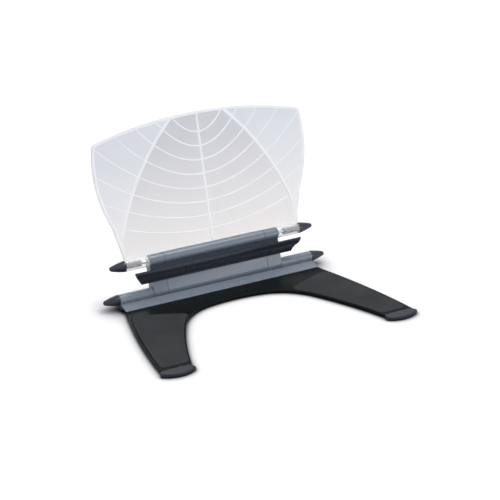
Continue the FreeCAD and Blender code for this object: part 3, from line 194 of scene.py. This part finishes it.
finishes = {
    # the black base's lighter edge colour is a painted reflection of the bright surroundings on its rounded
    # edges
    "glossBlack": {"colour": (27, 31, 32), "shade": (21, 25, 26), "wornAndSheenEdge": (60, 63, 66), "wearAndSheen": 0.3,
                   "roughness": (0.22, 0.32), "grainScale": 900.0, "driftScale": 18.0, "bite": 0.05,
                   "depth": 0.02, "specular": 0.03},
    "padGrey": {"colour": (58, 59, 61), "shade": (51, 52, 54), "wornAndSheenEdge": (92, 93, 96), "wearAndSheen": 0.4,
                "roughness": (0.72, 0.85), "grainScale": 1500.0, "driftScale": 22.0, "bite": 0.45,
                "depth": 0.05, "specular": 0.08},
    "capNavy": {"colour": (43, 46, 60), "shade": (36, 39, 52), "wornAndSheenEdge": (70, 75, 92), "wearAndSheen": 0.15,
                "roughness": (0.22, 0.30), "grainScale": 1400.0, "driftScale": 60.0, "bite": 0.08,
                "depth": 0.03, "specular": 0.4},
    "footNavy": {"colour": (36, 38, 51), "shade": (30, 32, 44), "wornAndSheenEdge": (62, 66, 82), "wearAndSheen": 0.15,
                 "roughness": (0.30, 0.38), "grainScale": 1400.0, "driftScale": 40.0, "bite": 0.1,
                 "depth": 0.03, "specular": 0.2},
    "slateGrey": {"colour": (111, 122, 136), "shade": (104, 115, 129), "wornAndSheenEdge": (150, 160, 172), "wearAndSheen": 0.4,
                  "roughness": (0.22, 0.28), "grainScale": 1600.0, "driftScale": 20.0, "bite": 0.1,
                  "depth": 0.02, "specular": 0.45},
    "ledgeNavy": {"colour": (42, 47, 58), "shade": (36, 41, 51), "wornAndSheenEdge": (72, 79, 92), "wearAndSheen": 0.25,
                  "roughness": (0.22, 0.30), "grainScale": 1500.0, "driftScale": 20.0, "bite": 0.12,
                  "depth": 0.02, "specular": 0.35},
    # painted shade: the wall under the barrel gets the bluish grey of the barrel's shaded underside instead
    # of the ledge's own navy
    "ledgeInnerPaintedShade": {"colour": (76, 86, 97), "shade": (68, 78, 89), "wornAndSheenEdge": (84, 94, 105), "wearAndSheen": 0.1,
                   "roughness": (0.62, 0.74), "grainScale": 1500.0, "driftScale": 20.0, "bite": 0.2,
                   "depth": 0.03, "specular": 0.05},
    "brushedSteel": {"colour": (196, 198, 202), "shade": (176, 178, 182), "wornAndSheenEdge": (220, 221, 224),
                     "wearAndSheen": 0.3, "roughness": (0.22, 0.34), "grainScale": 2200.0, "driftScale": 90.0,
                     "bite": 0.2, "depth": 0.02, "metallic": 1.0},
    "springSteel": {"colour": (150, 152, 158), "shade": (128, 130, 136), "wornAndSheenEdge": (190, 192, 196),
                    "wearAndSheen": 0.3, "roughness": (0.26, 0.40), "grainScale": 2000.0, "driftScale": 120.0,
                    "bite": 0.2, "depth": 0.02, "metallic": 1.0},
    "bearingWhite": {"colour": (226, 226, 222), "shade": (214, 214, 209), "wornAndSheenEdge": (238, 238, 236),
                     "wearAndSheen": 0.2, "roughness": (0.42, 0.55), "grainScale": 1400.0, "driftScale": 70.0,
                     "bite": 0.15, "depth": 0.02, "specular": 0.4},
    "rubberBlack": {"colour": (38, 38, 39), "shade": (31, 31, 32), "wornAndSheenEdge": (66, 66, 67), "wearAndSheen": 0.4,
                    "roughness": (0.78, 0.92), "grainScale": 900.0, "driftScale": 60.0, "bite": 0.5,
                    "depth": 0.06, "specular": 0.25},
}
made = {name: finishOf(name, look) for name, look in finishes.items()}
print("finishes made,", len(made))


# The back plate's plastic: milky with a fine bite, darker and cooler towards its top, which is painted shade
# where less light from the floor reaches

frosted = {
    "sheet": {"low": (246, 244, 245), "high": (220, 223, 229)},
    "leaf": {"low": (241, 239, 238), "high": (206, 206, 212)},
    # the ridges stay nearly white at every height, a painted highlight of light caught by the raised beads
    "ridge": {"low": (247, 247, 247), "high": (242, 243, 246)},
    "fromHeight": 75.0, "toHeight": 235.0, "roughness": (0.38, 0.50), "grainScale": 1300.0,
    "driftScale": 14.0, "bite": 0.12, "depth": 0.03, "through": 0.25, "refraction": 1.45,
}


def frostedFinish(name, colours):
    material, tree, shader = newMaterial(name)
    mouldedSurface(tree, shader, frosted)
    place = tree.nodes.new("ShaderNodeTexCoord")
    parts = tree.nodes.new("ShaderNodeSeparateXYZ")
    # painted shade: from fromHeight up to toHeight the colour goes from low to the darker high
    rise = rangeNode(tree, given=(frosted["fromHeight"] * mm, frosted["toHeight"] * mm))
    blend = colourMix(tree)
    blend.inputs[mixFirst].default_value = tint(*colours["low"])
    blend.inputs[mixSecond].default_value = tint(*colours["high"])
    shader.inputs["Transmission Weight"].default_value = frosted["through"]
    shader.inputs["IOR"].default_value = frosted["refraction"]
    link = tree.links.new
    link(place.outputs["Object"], parts.inputs["Vector"])
    link(parts.outputs["Z"], rise.inputs["Value"])
    link(rise.outputs["Result"], blend.inputs[mixShare])
    link(blend.outputs[mixResult], shader.inputs["Base Color"])
    return material


knuckleLook = {"colour": (252, 252, 253), "shade": (246, 247, 250), "cover": (0.2, 0.6), "blend": 0.4,
               "roughness": (0.06, 0.12), "grainScale": 900.0, "driftScale": 60.0, "specular": 0.6}


def clearFinish(name, look):  # clear tube: see-through in the middle, milky where it turns away
    material, tree, shader = newMaterial(name)
    grain = mouldedSurface(tree, shader, look)
    facing = tree.nodes.new("ShaderNodeLayerWeight")
    facing.inputs["Blend"].default_value = look["blend"]
    cover = rangeNode(tree, result=look["cover"])
    tone = colourMix(tree)
    tone.inputs[mixFirst].default_value = tint(*look["colour"])
    tone.inputs[mixSecond].default_value = tint(*look["shade"])
    shader.inputs["Specular IOR Level"].default_value = look["specular"]
    link = tree.links.new
    link(facing.outputs["Facing"], cover.inputs["Value"])
    link(cover.outputs["Result"], shader.inputs["Alpha"])
    link(grain.outputs["Drift"], tone.inputs[mixShare])
    link(tone.outputs[mixResult], shader.inputs["Base Color"])
    return material


sheetFinish = frostedFinish("frostedSheet", frosted["sheet"])
leafFinish = frostedFinish("frostedLeaf", frosted["leaf"])
ridgeHighlightFinish = frostedFinish("frostedRidgeHighlight", frosted["ridge"])
knuckleFinish = clearFinish("clearKnuckle", knuckleLook)


# Moulded pieces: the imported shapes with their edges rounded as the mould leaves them

rounding = {"sharpAngle": 35, "flatAngle": 0.4, "weld": 0.002, "steps": 3}  # degrees and millimetres


def smoothFaces(mesh):
    for face in mesh.polygons:
        face.use_smooth = True


def evenShading(piece):  # flat faces stay flat beside rounded edges
    even = piece.modifiers.new("evenShading", "WEIGHTED_NORMAL")
    even.keep_sharp = False


def isBehind(place, limits):
    return place.y > limits["behind"] * mm and place.z > limits["above"] * mm


def weighEdges(work, look):  # the edges below a height get a smaller radius
    share = work.edges.layers.float.new("bevel_weight_edge")
    for edge in work.edges:
        sharp = len(edge.link_faces) == 2 and edge.calc_face_angle() > math.radians(rounding["sharpAngle"])
        low = min(vert.co.z for vert in edge.verts) < look["fineBelow"] * mm
        edge[share] = (look["fine"] if low else 1.0) if sharp else 0.0


def reshaped(mesh, look):
    work = bmesh.new()
    work.from_mesh(mesh)
    bmesh.ops.remove_doubles(work, verts=work.verts, dist=rounding["weld"] * mm)
    if not look.get("keepFaces"):
        bmesh.ops.dissolve_limit(work, angle_limit=math.radians(rounding["flatAngle"]),
                                 verts=work.verts, edges=work.edges)
    for face in work.faces:
        face.material_index = 0
    for edge in work.edges:
        edge.smooth = True
    if "raised" in look:  # the ledge's back wall runs up to the barrel
        for vert in work.verts:
            if isBehind(vert.co, look["raised"]):
                vert.co += Vector((0.0, *look["raised"]["by"])) * mm
    if "inner" in look:  # the wall behind the documents is matt, and its bluish grey is painted shade of the slate barrel's underside above it
        for face in work.faces:
            if isBehind(face.calc_center_median(), look["inner"]):
                face.material_index = 1
    if "fine" in look:
        weighEdges(work, look)
    work.to_mesh(mesh)
    work.free()
    smoothFaces(mesh)


def roundedCopy(node, look):
    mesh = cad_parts[node].data.copy()
    mesh.name = look["name"]
    mesh.materials.clear()  # this also clears each face's choice, so it comes before the reshaping
    mesh.materials.append(made[look["finish"]])
    if "inner" in look:
        mesh.materials.append(made[look["inner"]["finish"]])
    piece = bpy.data.objects.new(look["name"], mesh)
    bpy.context.scene.collection.objects.link(piece)
    reshaped(mesh, look)
    bevel = piece.modifiers.new("mouldRadius", "BEVEL")
    bevel.width = look["round"] * mm
    bevel.segments = look.get("steps", rounding["steps"])
    bevel.limit_method = "WEIGHT" if "fine" in look else "ANGLE"
    bevel.angle_limit = math.radians(rounding["sharpAngle"])
    bevel.use_clamp_overlap = look.get("clamp", True)
    bevel.miter_outer = "MITER_ARC"
    evenShading(piece)
    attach(piece, look["body"])
    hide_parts(node)


mouldings = {
    "base_shell": {"name": "blackBase", "body": "base", "slot": "base_black", "finish": "glossBlack",
                   "round": 0.8, "steps": 4, "keepFaces": True, "clamp": False},
    "leg_pad_left": {"name": "leftPad", "body": "base", "slot": "pad_grey", "finish": "padGrey",
                     "round": 0.35},
    "leg_pad_right": {"name": "rightPad", "body": "base", "slot": "pad_grey", "finish": "padGrey",
                      "round": 0.35},
    "foot_cap_left": {"name": "leftFoot", "body": "base", "slot": "cap_navy", "finish": "footNavy",
                      "round": 0.7},
    "foot_cap_right": {"name": "rightFoot", "body": "base", "slot": "cap_navy", "finish": "footNavy",
                       "round": 0.7},
    "hinge_rail": {"name": "slateRail", "body": "base", "slot": "slate_grey", "finish": "slateGrey",
                   "round": 0.3},
    "rail_cap_left": {"name": "leftRailCap", "body": "base", "slot": "cap_navy", "finish": "capNavy",
                      "round": 0.4},
    "rail_cap_right": {"name": "rightRailCap", "body": "base", "slot": "cap_navy", "finish": "capNavy",
                       "round": 0.4},
    "arm_frame": {"name": "armRear", "body": "arm", "slot": "slate_grey", "finish": "slateGrey",
                  "round": 0.55, "clamp": False, "fineBelow": 54.0, "fine": 0.3},
    "arm_cover": {"name": "armFront", "body": "arm", "slot": "slate_grey", "finish": "slateGrey",
                  "round": 0.55, "clamp": False, "fineBelow": 54.0, "fine": 0.3},
    "document_ledge": {"name": "navyLedge", "body": "arm", "slot": "ledge_navy", "finish": "ledgeNavy",
                       "round": 0.35, "raised": {"behind": 2.0, "above": 51.5, "by": (1.3, 3.6)},
                       "inner": {"behind": -3.0, "above": 40.0, "finish": "ledgeInnerPaintedShade"}},
    "plate_cap_left": {"name": "leftPlateCap", "body": "plate", "slot": "cap_navy", "finish": "capNavy",
                       "round": 0.25},
    "plate_cap_right": {"name": "rightPlateCap", "body": "plate", "slot": "cap_navy", "finish": "capNavy",
                        "round": 0.25},
}
for node, look in mouldings.items():
    roundedCopy(node, look)
print("moulded pieces made,", len(mouldings))

hardware = {
    "foot_grip_discs": "rubberBlack", "rear_grip_strip": "rubberBlack",
    "rail_screws": "brushedSteel", "cover_screws": "brushedSteel", "ledge_screws": "brushedSteel",
    "lower_shaft": "brushedSteel", "upper_shaft": "brushedSteel",
    "lower_friction_clips": "springSteel", "upper_friction_clips": "springSteel",
    "lower_bushes": "bearingWhite", "upper_bushes": "bearingWhite",
    "lower_washers": "bearingWhite", "upper_washers": "bearingWhite",
}
for node, finish in hardware.items():
    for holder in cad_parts[node].material_slots:
        holder.material = made[finish]
print("hardware finished,", len(hardware))


# The back plate, drawn flat as (across, up) from the upper hinge, then leaned back

plate = {
    "lean": 14.3, "hingeY": 10.82, "hingeZ": 61.87, "thick": 2.2, "edgeRound": 0.76, "edgeSteps": 3,
    "half": 178.9, "widestAt": 143.0, "sideRadius": 195.0, "top": 207.8, "topRadius": 671.0,
    "corner": 9.0, "flank": 148.5, "flankJoin": 56.0, "foot": 10.0, "knuckleTop": 8.3, "armHalf": 110.6,
    "leafDepth": 0.6, "leafOver": 1.0, "crest": 0.9, "root": 0.45, "weld": 0.0005, "middle": 1e-6,
    "sideStep": 4.0, "cornerStep": 1.2, "topStep": 5.0,
    "rim": {"width": 4.6, "inset": 2.4, "start": 0.2, "over": 0.04},
    "arch": {"width": 5.0, "points": ((147.0, 40.0), (104.5, 131.0), (43.0, 204.8)), "step": 4.0,
             "over": 0.02},
    "spine": {"width": 3.6, "start": 1.0, "step": 3.5, "count": 57, "over": 0.01},
    "veins": {"count": 8, "top": 176.6, "pitch": 21.1, "archPitch": 26.7, "archStart": 4.5,
              "width": (2.4, 1.7), "crest": (0.85, 0.12), "step": 2.5},
}
sideCentre = (plate["half"] - plate["sideRadius"], plate["widestAt"])
topCentre = (0.0, plate["top"] - plate["topRadius"])
plateFinishes = [sheetFinish, leafFinish, ridgeHighlightFinish]
leafFace, ridgeFace = 1, 2  # places in plateFinishes


def onPlate(across, up, out):
    lean = math.radians(plate["lean"])
    y = plate["hingeY"] + up * math.sin(lean) - out * math.cos(lean)
    z = plate["hingeZ"] + up * math.cos(lean) + out * math.sin(lean)
    return Vector((across, y, z)) * mm


def circleThrough(a, b, c):
    (ax, ay), (bx, by), (cx, cy) = a, b, c
    d = 2 * (ax * (by - cy) + bx * (cy - ay) + cx * (ay - by))
    ux = ((ax**2 + ay**2) * (by - cy) + (bx**2 + by**2) * (cy - ay) + (cx**2 + cy**2) * (ay - by)) / d
    uy = ((ax**2 + ay**2) * (cx - bx) + (bx**2 + by**2) * (ax - cx) + (cx**2 + cy**2) * (bx - ax)) / d
    return (ux, uy), math.dist((ux, uy), a)


def arcPoints(centre, radius, start, end, step):
    first = math.atan2(start[1] - centre[1], start[0] - centre[0])
    turn = math.atan2(end[1] - centre[1], end[0] - centre[0]) - first
    turn = (turn + math.pi) % (2 * math.pi) - math.pi
    count = max(2, math.ceil(abs(turn) * radius / step))
    return [(centre[0] + radius * math.cos(first + turn * i / count),
             centre[1] + radius * math.sin(first + turn * i / count)) for i in range(count + 1)]


def stepTowards(start, end, length, reach):
    return (start[0] + (end[0] - start[0]) * length / reach,
            start[1] + (end[1] - start[1]) * length / reach)


def cornerCentre():  # of the round between the plate's side arc and its top arc
    toSide, toTop = plate["sideRadius"] - plate["corner"], plate["topRadius"] - plate["corner"]
    gap = math.dist(sideCentre, topCentre)
    along = (toSide**2 - toTop**2 + gap**2) / (2 * gap)
    off = math.sqrt(toSide**2 - along**2)
    ux, uy = (topCentre[0] - sideCentre[0]) / gap, (topCentre[1] - sideCentre[1]) / gap
    return (sideCentre[0] + ux * along - uy * off, sideCentre[1] + uy * along + ux * off)


def plateSide(inset):  # right-hand edge of the plate, from the top of its flank to the top middle
    sideRadius, topRadius = plate["sideRadius"] - inset, plate["topRadius"] - inset
    corner = cornerCentre()
    join = plate["flankJoin"]
    flankTop = (sideCentre[0] + math.sqrt(sideRadius**2 - (join - sideCentre[1])**2), join)
    sideEnd = stepTowards(sideCentre, corner, sideRadius, math.dist(sideCentre, corner))
    topEnd = stepTowards(topCentre, corner, topRadius, math.dist(topCentre, corner))
    topMiddle = (0.0, plate["top"] - inset)
    points = arcPoints(sideCentre, sideRadius, flankTop, sideEnd, plate["sideStep"])
    points += arcPoints(corner, plate["corner"] - inset, sideEnd, topEnd, plate["cornerStep"])[1:]
    points += arcPoints(topCentre, topRadius, topEnd, topMiddle, plate["topStep"])[1:]
    return points


def mirrored(points):
    return [(-x, s) for x, s in reversed(points)]


def bothSides(right):  # right half from foot to top, closed with its mirror image
    offMiddle = [(x, s) for x, s in right if x > plate["middle"]]
    return right + mirrored(offMiddle)


def newPiece(name, work, materials, body=None):  # without a body it is only a tool
    bmesh.ops.recalc_face_normals(work, faces=work.faces)
    mesh = bpy.data.meshes.new(name)
    work.to_mesh(mesh)
    work.free()
    smoothFaces(mesh)
    for material in materials:
        mesh.materials.append(material)
    piece = bpy.data.objects.new(name, mesh)
    bpy.context.scene.collection.objects.link(piece)
    if body:
        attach(piece, body)
    return piece


def slabOf(work, points, low, high):
    lower = [work.verts.new(onPlate(x, s, low)) for x, s in points]
    upper = [work.verts.new(onPlate(x, s, high)) for x, s in points]
    work.faces.new(lower)
    work.faces.new(list(reversed(upper)))
    for i in range(len(points)):
        j = (i + 1) % len(points)
        work.faces.new((lower[i], lower[j], upper[j], upper[i]))
    return lower, upper


def skin(work, rings):  # faces from each ring of points to the next
    for a, b in zip(rings, rings[1:]):
        for k in range(len(a)):
            m = (k + 1) % len(a)
            work.faces.new((a[k], a[m], b[m], b[k]))


ridgeSection = ((-1, 0), (-0.97, 0.35), (-0.86, 0.66), (-0.62, 0.88), (-0.3, 0.98), (0, 1),
                (0.3, 0.98), (0.62, 0.88), (0.86, 0.66), (0.97, 0.35), (1, 0))


def ridge(work, points, width, crest):
    root = plate["root"]
    rise = plate["thick"] / 2 + crest - root
    rings = []
    for i, (x, s) in enumerate(points):
        before, after = points[max(i - 1, 0)], points[min(i + 1, len(points) - 1)]
        dx, ds = after[0] - before[0], after[1] - before[1]
        reach = math.hypot(dx, ds)
        nx, ns = -ds / reach, dx / reach
        ring = []
        for u, h in ridgeSection:
            spot = onPlate(x + nx * u * width / 2, s + ns * u * width / 2, root + rise * h)
            ring.append(work.verts.new(spot))
        rings.append(ring)
    skin(work, rings)
    work.faces.new(rings[0])
    work.faces.new(list(reversed(rings[-1])))


archCentre, archRadius = circleThrough(*plate["arch"]["points"])


def archLine(shift):  # the right-hand arch of the leaf, moved outwards by shift
    points = plate["arch"]["points"]
    radius = archRadius + shift
    start = stepTowards(archCentre, points[0], radius, archRadius)
    end = stepTowards(archCentre, points[-1], radius, archRadius)
    return arcPoints(archCentre, radius, start, end, plate["arch"]["step"])


def insideRim(x, s):
    inset = plate["rim"]["inset"]
    inSide = math.dist((abs(x), s), sideCentre) < plate["sideRadius"] - inset
    inTop = math.dist((x, s), topCentre) < plate["topRadius"] - inset
    return inSide and inTop


def veinLine(index):  # a parabola from the spine through a point of the arch, on to the rim
    veins = plate["veins"]
    high = plate["arch"]["points"][-1]
    low = veins["top"] - index * veins["pitch"]
    turn = math.atan2(high[1] - archCentre[1], high[0] - archCentre[0])
    turn -= max(0.0, index * veins["archPitch"] - veins["archStart"]) / archRadius
    spot = (archCentre[0] + archRadius * math.cos(turn), archCentre[1] + archRadius * math.sin(turn))
    steep = (spot[1] - low) / spot[0]**2
    endsAtArch = index in (0, veins["count"] - 1)
    right = []
    x = 0.0
    while not (endsAtArch and x > spot[0]) and insideRim(x, low + steep * x * x):
        right.append((x, low + steep * x * x))
        x += veins["step"]
    if endsAtArch and x > spot[0]:
        right.append(spot)
    return mirrored(right[1:]) + right


def plainSheet():
    foot, top, armHalf = plate["foot"], plate["knuckleTop"], plate["armHalf"]
    right = [(0.0, foot), (armHalf, foot), (armHalf, top), (plate["flank"], top)] + plateSide(0.0)
    work = bmesh.new()
    lower, upper = slabOf(work, bothSides(right), -plate["thick"] / 2, plate["thick"] / 2)
    edges = [work.edges.get((ring[i], ring[(i + 1) % len(ring)])) for ring in (lower, upper)
             for i in range(len(ring))]
    bmesh.ops.bevel(work, geom=edges, offset=plate["edgeRound"] * mm, segments=plate["edgeSteps"],
                    profile=0.5, affect="EDGES", clamp_overlap=False)
    return newPiece("frostedPanel", work, plateFinishes, "plate")


def leafHollow():  # the field of the leaf lies a little deeper than the sheet
    edge = archLine(-plate["arch"]["width"] / 2)
    foot = plate["foot"] + plate["rim"]["inset"]
    field = [(0.0, foot), (edge[0][0], foot)] + edge + [(0.0, edge[-1][1])]
    face = plate["thick"] / 2
    work = bmesh.new()
    slabOf(work, bothSides(field), face - plate["leafDepth"], face + plate["leafOver"])
    for side in work.faces:
        side.material_index = leafFace
    return newPiece("leafTool", work, plateFinishes)


def ridgeTool(points, width, crest):
    work = bmesh.new()
    ridge(work, points, width, crest)
    for face in work.faces:
        face.material_index = ridgeFace
    return newPiece("reliefTool", work, plateFinishes)


def reliefTools():  # crests differ a little, so that no two lie in one plane where they cross
    rim, arch, spine, veins = (plate[part] for part in ("rim", "arch", "spine", "veins"))
    edge = [(plate["flank"] - rim["inset"], plate["knuckleTop"] + rim["start"])] + plateSide(rim["inset"])
    tools = [ridgeTool(bothSides(edge), rim["width"], plate["crest"] + rim["over"])]
    rightArch = archLine(0.0)
    for line in (rightArch, mirrored(rightArch)):
        tools.append(ridgeTool(line, arch["width"], plate["crest"] + arch["over"]))
    middle = [(0.0, plate["foot"] + spine["start"] + i * spine["step"]) for i in range(spine["count"])]
    tools.append(ridgeTool(middle, spine["width"], plate["crest"] + spine["over"]))
    for index in range(veins["count"]):  # the lower a vein, the finer
        share = index / (veins["count"] - 1)
        width, crest = (high + (low - high) * share for high, low in (veins["width"], veins["crest"]))
        tools.append(ridgeTool(veinLine(index), width, crest))
    return tools


def joined(panel, tools):
    for tool, operation in tools:
        step = panel.modifiers.new(tool.name, "BOOLEAN")
        step.object = tool
        step.operation = operation
        step.solver = "MANIFOLD"
    bpy.context.view_layer.update()
    shaped = bpy.data.meshes.new_from_object(panel.evaluated_get(bpy.context.evaluated_depsgraph_get()))
    panel.modifiers.clear()
    work = bmesh.new()
    work.from_mesh(shaped)
    bmesh.ops.remove_doubles(work, verts=work.verts, dist=plate["weld"] * mm)
    work.to_mesh(shaped)
    work.free()
    panel.data = shaped
    smoothFaces(shaped)
    for tool, operation in tools:
        bpy.data.objects.remove(tool)


def frostedPanel():
    panel = plainSheet()
    joined(panel, [(leafHollow(), "DIFFERENCE")] + [(tool, "UNION") for tool in reliefTools()])
    evenShading(panel)
    panel.visible_shadow = False  # the frosted sheet lets the light through
    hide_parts("back_plate")
    print("back plate made,", len(panel.data.polygons), "faces")


frostedPanel()

knuckle = {"radius": 8.5, "socket": 5.06, "bore": 2.6, "start": 110.6, "end": 148.5, "plug": 26.0,
           "edge": 0.5, "edgeShare": 0.3, "turns": 72}


def knuckleSection():  # (along, from the axis), around the tube's wall
    radius, socket, bore, edge = (knuckle[part] for part in ("radius", "socket", "bore", "edge"))
    start, end = knuckle["start"], knuckle["end"]
    soft = edge * knuckle["edgeShare"]
    floor = end - knuckle["plug"]
    return [(start, bore), (start, radius - edge), (start + soft, radius - soft), (start + edge, radius),
            (end - edge, radius), (end - soft, radius - soft), (end, radius - edge), (end, socket),
            (floor, socket), (floor, bore)]


def knuckleTubes():
    work = bmesh.new()
    section = knuckleSection()
    for sign in (1, -1):
        rings = []
        for i in range(knuckle["turns"]):
            turn = 2 * math.pi * i / knuckle["turns"]
            rings.append([work.verts.new(onPlate(sign * x, r * math.cos(turn), r * math.sin(turn)))
                          for x, r in section])
        skin(work, rings + rings[:1])
    tubes = newPiece("clearKnuckles", work, [knuckleFinish], "plate")
    evenShading(tubes)
    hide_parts("back_plate")
    print("knuckles made")


knuckleTubes()


# Floor, surroundings and lamps

stage = {"half": 4.0, "level": -0.02, "albedo": (236, 236, 238), "roughness": 0.9,
         "nearLift": 0.33, "farLift": 0.65, "near": 0.35, "far": 1.3, "contact": 0.05, "contactFade": 2.8,
         "sky": (0.97, 0.985, 1.0, 1), "skyStrength": 0.30, "whiteStrength": 1.0}
white = (1, 1, 1, 1)
black = (0, 0, 0, 1)


def seenDirectly(tree):  # 1 for rays that show the surroundings, 0 for those that only light
    path = tree.nodes.new("ShaderNodeLightPath")
    first = mathNode(tree, "MAXIMUM")
    second = mathNode(tree, "MAXIMUM")
    tree.links.new(path.outputs["Is Camera Ray"], first.inputs[0])
    tree.links.new(path.outputs["Is Glossy Ray"], first.inputs[1])
    tree.links.new(first.outputs["Value"], second.inputs[0])
    tree.links.new(path.outputs["Is Transmission Ray"], second.inputs[1])
    return second.outputs["Value"]


def floorPaper():
    material, tree, shader = newMaterial("floorPaper")
    shader.inputs["Roughness"].default_value = stage["roughness"]
    shader.inputs["Specular IOR Level"].default_value = 0.0
    shader.inputs["Emission Color"].default_value = white
    place = tree.nodes.new("ShaderNodeTexCoord")
    reach = tree.nodes.new("ShaderNodeVectorMath")
    reach.operation = "LENGTH"
    near, far = (stage["near"], stage["nearLift"]), (stage["far"], stage["farLift"])
    spread = rangeNode(tree, *zip(near, far))  # the lamps fade outwards, the paper stays white
    lift = mathNode(tree, "MULTIPLY")
    # painted contact shadow: near the object, ambient occlusion darkens the paper's colour and its lift
    # towards black
    contact = tree.nodes.new("ShaderNodeAmbientOcclusion")
    contact.inputs["Distance"].default_value = stage["contact"]
    openness = mathNode(tree, "POWER")
    openness.inputs[1].default_value = stage["contactFade"]
    paper = colourMix(tree)
    paper.inputs[mixFirst].default_value = black
    paper.inputs[mixSecond].default_value = tint(*stage["albedo"])
    shown = mathNode(tree, "MULTIPLY")
    link = tree.links.new
    link(contact.outputs["AO"], openness.inputs[0])
    link(openness.outputs["Value"], paper.inputs[mixShare])
    link(paper.outputs[mixResult], shader.inputs["Base Color"])
    link(place.outputs["Object"], reach.inputs[0])
    link(reach.outputs["Value"], spread.inputs["Value"])
    link(seenDirectly(tree), lift.inputs[0])
    link(spread.outputs["Result"], lift.inputs[1])
    link(lift.outputs["Value"], shown.inputs[0])
    link(openness.outputs["Value"], shown.inputs[1])
    link(shown.outputs["Value"], shader.inputs["Emission Strength"])
    return material


def paleFloor():
    half = stage["half"]
    level = stage["level"] * mm
    mesh = bpy.data.meshes.new("paleFloor")
    corners = [(-half, -half, level), (half, -half, level), (half, half, level), (-half, half, level)]
    mesh.from_pydata(corners, [], [(0, 1, 2, 3)])
    floor = bpy.data.objects.new("paleFloor", mesh)
    bpy.context.scene.collection.objects.link(floor)
    mesh.materials.append(floorPaper())


def surroundings():
    world = bpy.data.worlds.new("softStudio")
    bpy.context.scene.world = world
    world.use_nodes = True
    tree = world.node_tree
    sky = tree.nodes["Background"]
    sky.inputs["Color"].default_value = stage["sky"]
    sky.inputs["Strength"].default_value = stage["skyStrength"]
    plain = tree.nodes.new("ShaderNodeBackground")
    plain.inputs["Color"].default_value = white
    plain.inputs["Strength"].default_value = stage["whiteStrength"]
    mix = tree.nodes.new("ShaderNodeMixShader")
    tree.links.new(seenDirectly(tree), mix.inputs[0])
    tree.links.new(sky.outputs["Background"], mix.inputs[1])
    tree.links.new(plain.outputs["Background"], mix.inputs[2])
    tree.links.new(mix.outputs["Shader"], tree.nodes["World Output"].inputs["Surface"])


lamps = {
    "overhead": {"place": (0.6, -0.35, 1.95), "aim": (0.0, -0.05, 0.08), "size": (1.7, 0.35),
                 "power": 19.0},
    "left": {"place": (-1.5, -1.0, 1.5), "aim": (0.0, -0.05, 0.1), "size": (1.0, 0.8), "power": 13.0},
    "front": {"place": (1.5, -2.05, 0.6), "aim": (0.0, -0.05, 0.12), "size": (0.8, 0.7), "power": 9.0},
    "rear": {"place": (0.5, 2.3, 1.1), "aim": (0.0, 0.0, 0.1), "size": (1.4, 1.0), "power": 9.0},
}


def placeLamp(name, look):
    data = bpy.data.lights.new(name, "AREA")
    data.shape = "RECTANGLE"
    data.size, data.size_y = look["size"]
    data.energy = look["power"]
    lamp = bpy.data.objects.new(name, data)
    lamp.location = look["place"]
    aim = Vector(look["aim"]) - lamp.location
    lamp.rotation_euler = aim.to_track_quat("-Z", "Y").to_euler()
    bpy.context.scene.collection.objects.link(lamp)


paleFloor()
surroundings()
for name, look in lamps.items():
    placeLamp(name, look)
print("stage and lamps made")

shot = {"aim": (0.0, -0.1017, 0.0986), "azimuth": -29.66, "elevation": 23.35, "distance": 2.624,
        "lens": 129.96, "sensor": 36.0}


def placeCamera():
    data = bpy.data.cameras.new("shot")
    data.lens = shot["lens"]
    data.sensor_width = shot["sensor"]
    camera = bpy.data.objects.new("shot", data)
    turn, rise = math.radians(shot["azimuth"]), math.radians(shot["elevation"])
    away = Vector((math.sin(turn) * math.cos(rise), -math.cos(turn) * math.cos(rise), math.sin(rise)))
    camera.location = Vector(shot["aim"]) + away * shot["distance"]
    camera.rotation_euler = (-away).to_track_quat("-Z", "Y").to_euler()
    bpy.context.scene.collection.objects.link(camera)
    bpy.context.scene.camera = camera


placeCamera()
bpy.context.scene.view_settings.view_transform = "Standard"
